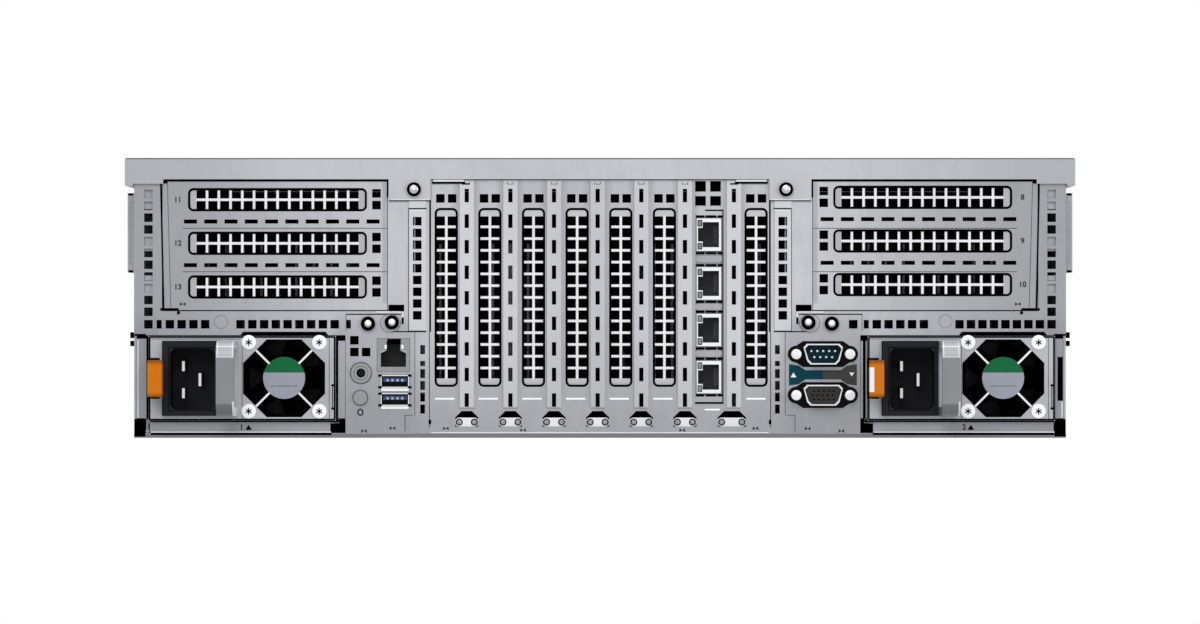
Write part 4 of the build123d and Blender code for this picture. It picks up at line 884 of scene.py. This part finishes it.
class SERVER_OT_windows(bpy.types.Operator):
    """Rounds the corners of the slot windows, adds the dark gap with painted shade inside each, and black
    bars of painted shade along their edges
    """

    bl_idname = "server.windows"
    bl_label = "Slot windows"

    def execute(self, context):
        sizes = context.scene.server_detail
        corner = sizes.window_corner / MM
        line = {"line": sizes.gap_shade_line / MM, "thick": sizes.gap_shade_depth / MM, "corner": corner}
        upright = [(x, SLOT_MID_Z) for x in UPRIGHT_SLOTS if x != CARD_X]
        level = [(LEFT_ROW_X, z) for z in LEFT_ROWS] + [(RIGHT_ROW_X, z) for z in RIGHT_ROWS]
        shapes = (("upright", upright, SLOT_ACROSS, SLOT_LONG), ("level", level, SLOT_LONG, SLOT_ACROSS))
        for kind, places, width, height in shapes:
            fillets = [fillet for x, z in places for fillet in corners(x, z, width, height, corner)]
            slab(f"{kind}_corners", fillets, BLANK_Y, WALL_Y + 0.01, "rear_sheet")
            spots = [(x, BLANK_Y, z) for x, z in places]
            # Black rings standing off each blank: the dark gap at the window edge with its painted shade
            rows(f"{kind}_gaps", "frame", spots, "gap_black", width=width, height=height, **line)
        top = SLOT_MID_Z + SLOT_LONG / 2
        tops = [(x - 3.6, x + 3.6, top - 1.0, top) for x, z in upright]
        mark("upright_shades", tops, "gap_black", 0.2, BLANK_Y)
        edges = [(x, z + rise) for x, z in level for rise in (-4.9, 4.9)]
        sides = [(x - 41.4, x + 41.4, z - 0.55, z + 0.55) for x, z in edges]
        mark("level_shades", sides, "gap_black", 0.2, BLANK_Y)
        return {"FINISHED"}


class SERVER_OT_bracket(bpy.types.Operator):
    """Adds the studs, dashes, spring latches and seams of the slot bracket"""

    bl_idname = "server.bracket"
    bl_label = "Slot bracket"

    def execute(self, context):
        self.foot()
        clips = [(x - 1.4, x + 1.4, CLIP_Z, 118.3) for x in RIBS[:6]]
        posts = [x + side * 1.3 for x in RIBS[:6] for side in SIDES]
        clips += [(x - 0.15, x + 0.15, CLIP_Z, 119.2) for x in posts]
        mark("rib_clips", clips, "line_grey", face=RAISED_Y)
        latches = both((62.8, 78.2, 118.3, 119.3), (60.6, 64.4, 117.9, 118.6))
        mark("latch_gaps", latches, "gap_black", 0.1, RAISED_Y)
        mark("latch_springs", both((63.4, 77.6, 119.3, 120.2)), "pale_edge", 0.3, RAISED_Y)
        seams = both((78.7, 79.5, SHELF_Z, WALL_TOP), (79.3, 79.6, 4.8, SHELF_Z), (78.6, 79.8, 6.4, 8.4))
        mark("bracket_seams", seams, "gap_black", 0.08)
        nibs = []
        on_sides = ((-194.3, 62.3), (194.6, 62.3), (-109.9, 3.2), (-96.6, 4.5), (96.7, 4.3), (112.4, 3.2))
        on_foot = ((-71.8, 4.4), (-35.8, 3.6), (38.3, 3.6), (72.4, 4.4))
        for x, z in on_sides + on_foot:
            nibs.append([(x - 1.3, z - 0.9), (x, z), (x - 1.3, z + 0.9)])
            nibs.append([(x + 1.3, z + 0.9), (x, z), (x + 1.3, z - 0.9)])
        mark("press_nibs", nibs, "print_dark", 0.06)
        # A pale line along the folded foot is a painted highlight
        mark("foot_highlight", [(-78.6, 78.6, 2.25, 2.65)], "pale_edge")
        return {"FINISHED"}

    def foot(self):
        """Arches with their studs, black sheets of painted shade behind them, and the painted dashes above
        them.
        """
        plates = [
            arc(x + reach, ARCH_Z, 2.1, -90, 90) + arc(x - reach, ARCH_Z, 2.1, 90, 270) for x, reach in ARCHES
        ]
        slab("arch_plates", plates, -374.2, BLANK_Y, "pale_edge")
        # Black sheets behind the arches are painted shade that hides the board seen through them
        backs = [(x - 7.0, x + 7.0, 1.4, 13.6) for x, reach in ARCHES]
        slab("arch_shade_sheets", backs, -373.0, -373.2, "gap_black")
        studs = [(x + side * reach, BLANK_Y, ARCH_Z) for x, reach in ARCHES for side in SIDES]
        rings("arch_stud_rings", studs, "gap_black", 3.3, 0.6, 0.1)
        rows("arch_studs", "dome", studs, "grey_plastic", radius=1.15, foot=0.1, rise=0.35)
        dashes = [(x - 5.2, x + 3.8, DASH_LOW, DASH_HIGH) for x in UPRIGHT_SLOTS[:6]]
        dashes += [(68.2, 77.1, DASH_LOW, DASH_HIGH), (48.8, 55.8, 12.8, 13.5)]
        mark("slot_dashes", dashes, "print_white", 0.06)


class SERVER_OT_risers(bpy.types.Operator):
    """Adds step lines of painted shade, outer seams, feet and numbers to the two riser plates"""

    bl_idname = "server.risers"
    bl_label = "Riser plates"

    def execute(self, context):
        # Grey lines where the riser plates step out are painted shade
        mark("riser_steps", both((99.2, 194.4, 97.4, 97.75), (99.2, 194.4, 77.2, 77.55)), "line_grey")
        outer = [(202.8, 60.0), (203.6, 60.0), (204.9, WALL_TOP), (204.1, WALL_TOP)]
        pin = arc(196.3, 58.2, 0.8, 0, 345, 12)
        lower = ((196.2, 204.8, 59.2, 60.4), pin, (98.6, 196.4, 59.0, 59.5))
        mark("riser_seams", both(outer, *lower, (201.4, 204.6, 118.4, 119.8)), "gap_black", 0.08)
        mark("riser_folds", both([(199.7, 60.4), (200.0, 60.4), (201.6, 118.6), (201.3, 118.6)]), "line_grey")
        gaps = both((91.2, 98.5, 58.9, 62.0), (92.2, 118.3, 57.3, 57.8), (91.4, 92.4, 53.0, 56.0))
        mark("riser_hook_gaps", gaps + [(118.3, 122.2, 57.3, 57.8)], "gap_black", 0.1)
        mark("riser_hooks", both((92.0, 104.0, 58.3, 58.9), (91.6, 92.3, 56.4, 58.9)), "pale_edge", 0.3)
        rings("pressed_rounds", [(-176.5, WALL_Y, 54.0), (160.9, WALL_Y, 54.3)], "line_grey", 6.4, 0.18)
        numbers = [(text, -196.6, z) for text, z in zip(("11", "12", "13"), LEFT_ROWS)]
        numbers += [(text, 196.8, z) for text, z in zip(("8", "9", "10"), RIGHT_ROWS)]
        figures("slot_numbers", numbers, 3.5)
        return {"FINISHED"}


class SERVER_OT_wall(bpy.types.Operator):
    """Adds the painted shade and dark gaps round the cover, the strips, the rails and the supply bays,
    painted highlights along some edges, and dark sheets of painted shade behind the front grilles
    """

    bl_idname = "server.wall"
    bl_label = "Rear wall"

    def execute(self, context):
        self.cover()
        self.strips()
        # Grey lines where the sheet steps at the port panels' edges are painted shade
        mark("panel_step_shades", [(-118.4, -118.1, 49.6, 57.3), (121.9, 122.2, 49.6, 57.5)], "line_grey")
        steps = both((90.6, 91.0, 3.0, 10.6), (87.0, 91.0, 10.3, 10.6), (86.1, 86.4, 10.3, 49.0))
        mark("port_panel_lines", steps, "line_grey")
        self.bays()
        # Dark sheets behind the front grilles are painted shade that keeps the view through the chassis black
        slab("grille_shade_sheets", both((75.0, 214.0, 4.0, 126.0)), 394.5, 394.0, "socket_black")
        return {"FINISHED"}

    def cover(self):
        """Painted shade under the cover and its tabs and along the shelves below, and painted highlights
        along the tabs' lower edges.
        """
        shades = ((98.5, 203.4, WALL_TOP, 120.6), (0.0, 78.7, 120.0, 120.6), (98.5, 99.3, 112.0, 120.0))
        shades += ((80.9, 89.2, 106.4, 107.2), (88.8, 89.3, SHELF_Z, 106.6), (80.9, 96.4, 49.2, 49.7))
        mark("cover_shades", both(*shades, (78.6, 98.2, 110.1, 110.5)), "gap_black", 0.1)
        # Pale lines along the tabs' lower edges are painted highlights
        mark("tab_edge_highlights", both((79.6, 97.4, 110.75, 111.1)), "pale_edge", face=COVER_Y)

    def strips(self):
        """Painted highlights and painted shade along the tops of the raised strips, plates behind the outer
        holes, and the ends of the side rails.
        """
        # A pale line on each strip's top edge is a painted highlight
        mark("strip_top_highlights", both((81.2, 88.8, 105.8, 106.3)), "pale_edge", face=RAISED_Y)
        slab("strip_backs", both((86.1, 86.5, 76.6, 103.0)), BLANK_Y + 0.4, BLANK_Y, "zinc_sheet")
        # A black bar above each strip is painted shade under the cover's tab
        slab("strip_top_shades", both((80.9, 89.0, 106.4, 107.0)), RAISED_Y + 0.5, RAISED_Y - 0.1, "gap_black")
        spans = ((106.5, 115.5), (87.0, 93.5), (73.3, 75.6), (66.9, 71.6))
        backs = both(*((207.4, 213.2, low, high) for low, high in spans))
        slab("column_backs", backs, BLANK_Y + 0.6, BLANK_Y + 0.2, "zinc_sheet")
        slab("rail_ends", both((217.1, 218.9, 81.1, 109.9)), -372.0, -372.9, "zinc_sheet")
        caps = both((217.6, 219.8, 112.9, 114.0), (217.6, 219.8, 77.0, 78.1))
        slab("rail_caps", caps, -372.9, -373.1, "gap_black")
        hooks = both((217.0, 218.9, 46.4, 49.2), (217.0, 218.9, 42.7, 45.2))
        slab("side_hooks", hooks, -371.0, -374.0, "gap_black")

    def bays(self):
        """Corners, seams, arches and pale lines round the two supply bays, most of them painted highlights
        along the edges, and the numbers below them.
        """
        back, front = WALL_Y + 0.3, WALL_Y - 0.1
        for name, side, low, high in (("left", -1, 118.7, 123.6), ("right", 1, 121.4, 125.0)):
            blocks = [(211.7, 216.9, 0.6, 8.8), (211.0, 215.6, 46.2, 47.8), (low, high, 45.2, 47.8)]
            blocks += [(low, high, 2.4, 6.8), (211.4, 216.9, 47.6, 48.4)]
            turned = [[(side * x, z) for x, z in points(block)] for block in blocks]
            slab(f"bay_corners_{name}", turned, back, front, "gap_black")
        seams = [(-209.2, -121.6, 7.3, 8.4), (123.2, 211.6, 7.3, 8.4), (-211.2, -209.9, 9.0, 47.0)]
        seams += [(-209.2, -125.0, 1.3, 2.3), (127.0, 211.6, 1.3, 2.3), (-122.9, -121.9, 7.4, 47.0)]
        seams += [(-210.0, -167.6, 46.9, 47.8), (124.8, 167.2, 46.9, 47.8), (122.4, 123.7, 9.0, 47.0)]
        slab("bay_seams", seams, back, front, "gap_black")
        arches = []
        for _, fan in SUPPLIES.values():
            arches.append([(fan - 20.6, 47.6), (fan + 20.6, 47.6), (fan + 19.2, 49.4), (fan - 19.2, 49.4)])
        slab("bay_arches", arches, back, front, "gap_black")
        mark("bay_slot", [(213.1, 215.5, 17.3, 37.7)], "gap_black", 0.1)
        # Most of these pale lines are painted highlights along the bay edges; the last is the pale block
        # beside the right supply's tab
        edges = [(-209.0, -125.2, 2.45, 2.9), (127.8, 211.6, 2.45, 2.9), (-215.4, -214.9, 9.4, 45.8)]
        edges += [(214.9, 215.4, 9.4, 17.0), (124.9, 125.6, 21.0, 34.2)]
        mark("bay_edges", edges, "pale_edge", 0.1)
        rows("bay_screws", "dome", [(-210.7, front, 3.2)], "grey_plastic", radius=0.9, foot=0.1, rise=0.4)
        figures("supply_numbers", [("1", -166.9, 4.9), ("2", 169.6, 4.9)], 3.6)
        wedges = [[(x - 1.5, 3.7), (x + 1.5, 3.7), (x, 6.1)] for x in (-163.6, 172.7)]
        mark("supply_wedges", wedges, "gap_black", 0.08)


class SERVER_OT_screws(bpy.types.Operator):
    """Adds the dark collars and domes of the captive screws, each with a bright dome as a painted highlight
    """

    bl_idname = "server.screws"
    bl_label = "Screws"

    def execute(self, context):
        rear = [(x, WALL_Y - 1.4, z) for x, z in REAR_SCREWS]
        cover = [(x, COVER_Y - 1.4, z) for x, z in COVER_SCREWS]
        self.heads("rear", "root", rear, 3.35, 1.8, 1.35, "grey_plastic")
        self.heads("cover", "top_cover", cover, 3.3, 2.1, 0.8, "nickel")
        reach, tabs = 4.6, []
        for x in (-SCREW_TAB_X, SCREW_TAB_X):
            tabs.append(arc(x, SCREW_TAB_Z, reach, 180, 360) + [(x + reach, 57.2), (x - reach, 57.2)])
        mark("screw_tabs", tabs, "rear_sheet", 0.1)
        rims = [(side * SCREW_TAB_X, WALL_Y - 0.1, SCREW_TAB_Z - 0.5) for side in SIDES]
        rows(
            "screw_tab_rims", "frame", rims, "line_grey",
            width=9.6, height=8.6, corner=4.2, line=0.25, thick=0.05,
        )
        return {"FINISHED"}

    def heads(self, name, body, spots, radius, core, glint, finish):
        """A dark collar, the head inside it and a small white dome on the head as a painted highlight."""
        rings(f"{name}_screw_collars", spots, "gap_black", radius * 2, radius - core, 0.25, body)
        rows(f"{name}_screw_domes", "dome", spots, finish, body, radius=core, foot=0.1, rise=0.5)
        # Painted highlight: a small white dome set high on each head
        tips = [(x, y - 0.45, z + 0.3) for x, y, z in spots]
        rows(f"{name}_screw_lights", "dome", tips, "print_white", body, radius=glint, foot=0.1, rise=0.4)


class SERVER_OT_card(bpy.types.Operator):
    """Adds lamps, contacts, slots and tabs to the network card"""

    bl_idname = "server.card"
    bl_label = "Network card"

    def execute(self, context):
        lamps = [(46.5, WALL_Y - 0.5, z + rise) for z in JACK_ZS for rise in (-5.35, 5.35)]
        rows("card_lamp_windows", "plate", lamps, "lamp_grey", width=1.7, height=2.7, corner=0.2, thick=0.05)
        rows(
            "card_lamp_rims", "frame", lamps, "gap_black",
            width=2.2, height=3.1, corner=0.3, line=0.35, thick=0.1,
        )
        count, pitch = context.scene.server_detail.pin_count, 1.02
        rises = [(index - (count - 1) / 2) * pitch for index in range(count)]
        contacts = [(CARD_X + 3.2, WALL_Y + 3.0, z + rise) for z in JACK_ZS for rise in rises]
        rows("card_contacts", "plate", contacts, "line_grey", width=2.0, height=0.4, corner=0.1, thick=0.5)
        middles = [z + rise for z in JACK_ZS for rise in (-8.55, 8.55)]
        spans = ((44.5, 48.6), (49.2, 54.2), (54.8, 57.0))
        slots = [(left, right, z - 0.5, z + 0.5) for z in middles for left, right in spans]
        slots += [(57.0, 57.5, 16.0, 106.0), (49.0, 57.5, 105.6, 106.3), (44.2, 57.5, 15.8, 16.7)]
        slab("card_slots", slots, WALL_Y + 1.19, WALL_Y - 0.1, "gap_black")
        tabs = [(CARD_X, WALL_Y + 1.19, (high + low) / 2) for high, low in zip(JACK_ZS, JACK_ZS[1:])]
        rows("card_tabs", "plate", tabs, "zinc_sheet", width=12.4, height=3.2, corner=1.3, thick=0.8)
        return {"FINISHED"}


class SERVER_OT_ports(bpy.types.Operator):
    """Adds the lips, contacts and rings of the sockets on the left"""

    bl_idname = "server.ports"
    bl_label = "Left sockets"

    def execute(self, context):
        face = WALL_Y - 0.2
        mark("management_slot", [(-99.1, -92.7, 43.6, 46.1)], "gap_black", face=face)
        shoulders = [(-100.3, -99.3, 41.5, 43.3), (-92.5, -91.5, 41.5, 43.3)]
        mark("management_shoulders", shoulders, "bright_metal", face=face)
        bevels = [[(-102.1, 39.4), (-99.4, 40.7), (-102.1, 40.7)]]
        bevels.append([(-90.3, 39.4), (-90.3, 40.7), (-93.0, 40.7)])
        mark("management_bevels", bevels, "rear_sheet", 0.06, face)
        touches = [(USB_X + shift, WALL_Y + 0.7, z + 0.5) for z in USB_ZS for shift in (-3.4, -1.2, 1.2, 3.4)]
        rows("usb_contacts", "plate", touches, "nickel", width=1.0, height=1.0, corner=0.1, thick=0.1)
        lips = [(USB_X - 6.4, USB_X + 6.4, z - 4.5, z - 3.2) for z in USB_ZS]
        mark("usb_lips", lips, "bright_metal", 0.5)
        ends = [(x, z) for z in USB_ZS for x in (USB_X - 6.9, USB_X + 6.9)]
        marks = [(x, face, z + rise) for x, z in ends for rise in (-2.7, 2.7)]
        rows("usb_corners", "plate", marks, "gap_black", width=1.7, height=1.0, corner=0.2, thick=0.4)
        x, z = RING_PLACE
        for name, finish, across, line in (
            ("ring_outer", "line_grey", 10.0, 0.35), ("ring_inner", "line_grey", 6.8, 0.3),
            ("ring_bore", "gap_black", 4.2, 0.5),
        ):
            rings(name, [(x, WALL_Y - 0.5, z)], finish, across, line)
        x, z = BUTTON_PLACE
        rings("id_button_gap", [(x, WALL_Y, z)], "line_grey", 7.4, 0.5)
        below = [(x, WALL_Y, z - 6.8)]
        rows(
            "round_mark", "frame", below, "print_dark",
            width=3.0, height=3.4, corner=1.5, line=0.7, thick=0.05,
        )
        return {"FINISHED"}


class SERVER_OT_plugs(bpy.types.Operator):
    """Adds the pins, posts and colour label of the two D-shaped sockets"""

    bl_idname = "server.plugs"
    bl_label = "Right sockets"

    def execute(self, context):
        pins = [(PORT_X + (index - 2) * 2.77, -375.6, SERIAL_Z + 1.42) for index in range(5)]
        pins += [(PORT_X + (index - 1.5) * 2.77, -375.6, SERIAL_Z - 1.42) for index in range(4)]
        rows("serial_pins", "pin", pins, "bright_metal", radius=0.55, length=4.6)
        lines = ((1.98, 0.3), (0.0, -0.3), (-1.98, 0.3))
        holes = [
            (PORT_X + (index - 2) * 2.29 + shift, -381.0, VGA_Z + rise)
            for rise, shift in lines for index in range(5)
        ]
        rows("vga_holes", "pin", holes, "gap_black", radius=0.42, length=0.05)
        posts = [(PORT_X + shift, POST_Y, z) for shift in (-12.5, 12.5) for z in (SERIAL_Z, VGA_Z)]
        rows("post_faces", "dome", posts, "bright_metal", radius=2.4, foot=0.3, rise=0.5)
        tips = [(x, y - 0.62, z - 0.3) for x, y, z in posts]
        rows("post_marks", "recess", tips, "line_grey", reach=1.5, arm=0.35, thick=0.1)
        label = [(88.0, 24.4), (92.6, 25.0), (95.6, 27.2), (PORT_X, 27.2), (PORT_X, 31.5)]
        label += [(95.6, 31.5), (92.6, 33.6), (88.0, 34.3)]
        mark("port_label_left", [label], "teal_plastic", 0.06)
        mark("port_label_right", [[(2 * PORT_X - x, z) for x, z in label]], "port_grey", 0.06)
        arrows = [[(88.8, 28.2), (91.4, 28.2), (90.1, 30.4)], [(116.1, 30.4), (118.4, 30.4), (117.25, 28.6)]]
        slab("port_arrows", arrows, WALL_Y - 0.06, WALL_Y - 0.1, "print_white")
        return {"FINISHED"}


class SERVER_OT_supplies(bpy.types.Operator):
    """Adds seams, screws, spokes, labels and blades to the two power supplies"""

    bl_idname = "server.supplies"
    bl_label = "Power supplies"

    def execute(self, context):
        for body, (left, fan) in SUPPLIES.items():
            self.face(body, left, fan)
            self.inlet(body, left)
            self.fan(body, fan)
        return {"FINISHED"}

    def face(self, body, left, fan):
        """Dark seams round the face, and the slot beside the fan."""
        middle, slot = [(left + 43.5, SUPPLY_Y, SUPPLY_MID_Z)], fan + 22.6
        rows(
            f"{body}_edge", "frame", middle, "gap_black", body,
            width=86.9, height=39.2, corner=0.7, line=0.8, thick=0.05,
        )
        folds = [(x - 0.15, x + 0.15, 9.0, 46.6) for x in (fan - 19.45, fan + 21.05)]
        folds = [(left + 0.8, left + 42.6, 45.9, 46.2)] + folds
        mark(f"{body}_folds", folds, "line_grey", 0.05, SUPPLY_Y, body)
        slots = [(slot - 0.2, slot + 0.2, 13.4, 24.8)]
        slots += [(slot - 0.6, slot + 0.6, low, low + 1.0) for low in (24.0, 13.2)]
        mark(f"{body}_slot", slots, "gap_black", 0.06, SUPPLY_Y, body)
        arch = [(fan - 20.4, 46.4), (fan - 19.4, 47.3), (fan + 19.4, 47.3), (fan + 20.4, 46.4)]
        arch += [(fan + 19.0, 46.9), (fan - 19.0, 46.9)]
        mark(f"{body}_arch", [arch], "gap_black", 0.05, SUPPLY_Y - 0.05, body)
        pocket = [(left + 0.5, left + 5.0, low, low + 0.7) for low in (18.4, 36.4)]
        mark(f"{body}_tab_gaps", pocket, "gap_black", 0.06, SUPPLY_Y, body)

    def inlet(self, body, left):
        """Bevel lines and blades."""
        front, middle = SUPPLY_Y - 2.0, left + 20.5
        rims = (
            ("rim", left + 19.6, SUPPLY_MID_Z, 26.4, 34.8, 0.35),
            ("bevel", middle, 27.4, 22.4, 29.8, 0.3),
        )
        for name, x, z, width, height, line in rims:
            rows(
                f"{body}_inlet_{name}", "frame", [(x, front, z)], "gap_black", body,
                width=width, height=height, corner=0.8, line=line, thick=0.05,
            )
        blades = []
        for x, z, half in ((-4.6, 33.35, 2.3), (-4.6, 20.75, 2.3), (3.1, 27.05, 3.0)):
            blades.append((middle + x - 0.6, middle + x + 0.6, z - half, z + half))
        slab(f"{body}_blades", blades, -374.0, -374.3, "bright_metal", body)

    def fan(self, body, fan):
        """Spokes, screws and the round label on the hub."""
        face, mid = SUPPLY_Y, SUPPLY_MID_Z
        spokes = [turned_bar(fan, mid, 9.6, 21.0, 0.45, angle) for angle in (45, 135, 225, 315)]
        slab(f"{body}_spokes", spokes, face + 1.1, face + 0.5, "bright_metal", body)
        label = arc(fan, mid + 0.2, 9.8, 0, 348, 29)
        slab(f"{body}_hub_label", [label], face + 1.3, face + 0.9, "hub_label", body)
        mark(f"{body}_hub_line", [(fan - 6.2, fan + 6.2, 24.0, 24.3)], "line_grey", 0.04, face + 0.9, body)
        bores = [(x, face, mid + rise) for x in (fan - 16.4, fan + 16.4) for rise in (16.7, -15.3)]
        rows(f"{body}_screw_heads", "dome", bores, "print_white", body, radius=3.45, foot=0.5, rise=0.6)
        tops = [(x, y - 1.02, z) for x, y, z in bores]
        rows(f"{body}_screw_recesses", "recess", tops, "gap_black", body, reach=3.2, arm=0.5, thick=0.15)


class SERVER_OT_stage(bpy.types.Operator):
    """Sets the camera, the lamps and the white backdrop"""

    bl_idname = "server.stage"
    bl_label = "Stage"

    def execute(self, context):
        sizes = context.scene.server_stage
        middle = Vector(sizes.view_middle)
        lens = bpy.data.cameras.new("rear_camera")
        lens.sensor_width = 36.0
        lens.lens = lens.sensor_width * sizes.distance / sizes.view_width
        lens.clip_end = 50.0
        camera = bpy.data.objects.new("rear_camera", lens)
        camera.location = middle - Vector((0.0, sizes.distance, 0.0))
        camera.rotation_euler = (math.pi / 2, 0.0, 0.0)
        context.scene.collection.objects.link(camera)
        context.scene.camera = camera
        self.lamp("key_lamp", (-0.5, -2.6, 1.6), 1.6, sizes.key_power, middle)
        self.lamp("fill_lamp", (1.6, -1.9, 0.5), 1.2, sizes.fill_power, middle)
        self.lamp("top_lamp", (0.0, -0.2, 1.8), 1.2, sizes.fill_power, middle)
        self.backdrop(sizes.world_light)
        context.scene.view_settings.view_transform = "Standard"
        return {"FINISHED"}

    def lamp(self, name, place, size, power, target):
        light = bpy.data.lights.new(name, "AREA")
        light.size = size
        light.energy = power
        lamp = bpy.data.objects.new(name, light)
        lamp.location = place
        lamp.rotation_euler = (target - Vector(place)).to_track_quat("-Z", "Y").to_euler()
        bpy.context.scene.collection.objects.link(lamp)

    def backdrop(self, strength):
        """White to the camera, an even soft grey to everything else."""
        world = bpy.data.worlds.new("white_room")
        world.use_nodes = True
        bpy.context.scene.world = world
        graph = Graph(world.node_tree)
        seen = graph.node("ShaderNodeLightPath").outputs["Is Camera Ray"]
        light = graph.node("ShaderNodeMix", {"data_type": "FLOAT"}, {0: seen, 2: strength, 3: 1.0})
        ground = world.node_tree.nodes["Background"]
        graph.feed(ground.inputs["Color"], (1.0, 1.0, 1.0, 1.0))
        graph.feed(ground.inputs["Strength"], light.outputs[0])


OPERATORS = (
    SERVER_OT_finishes,
    SERVER_OT_windows,
    SERVER_OT_bracket,
    SERVER_OT_risers,
    SERVER_OT_wall,
    SERVER_OT_screws,
    SERVER_OT_card,
    SERVER_OT_ports,
    SERVER_OT_plugs,
    SERVER_OT_supplies,
    SERVER_OT_stage,
)
SETTINGS = {"server_detail": DetailSizes, "server_colours": FinishColours, "server_stage": StageSizes}


class SERVER_PT_panel(bpy.types.Panel):
    """Lists the steps and their settings in the sidebar"""

    bl_label = "Server"
    bl_idname = "SERVER_PT_panel"
    bl_space_type = "VIEW_3D"
    bl_region_type = "UI"
    bl_category = "Server"

    def draw(self, context):
        for step in OPERATORS:
            self.layout.operator(step.bl_idname)
        for group, kind in SETTINGS.items():
            for name in kind.__annotations__:
                self.layout.prop(getattr(context.scene, group), name)


CLASSES = (*SETTINGS.values(), *OPERATORS, SERVER_PT_panel)


def register():
    for made in CLASSES:
        bpy.utils.register_class(made)
    for name, kind in SETTINGS.items():
        setattr(bpy.types.Scene, name, PointerProperty(type=kind))


def unregister():
    for name in SETTINGS:
        delattr(bpy.types.Scene, name)
    for made in reversed(CLASSES):
        bpy.utils.unregister_class(made)


def main():
    register()
    for step in OPERATORS:
        group, name = step.bl_idname.split(".")
        getattr(getattr(bpy.ops, group), name)()


if __name__ == "__main__":
    main()
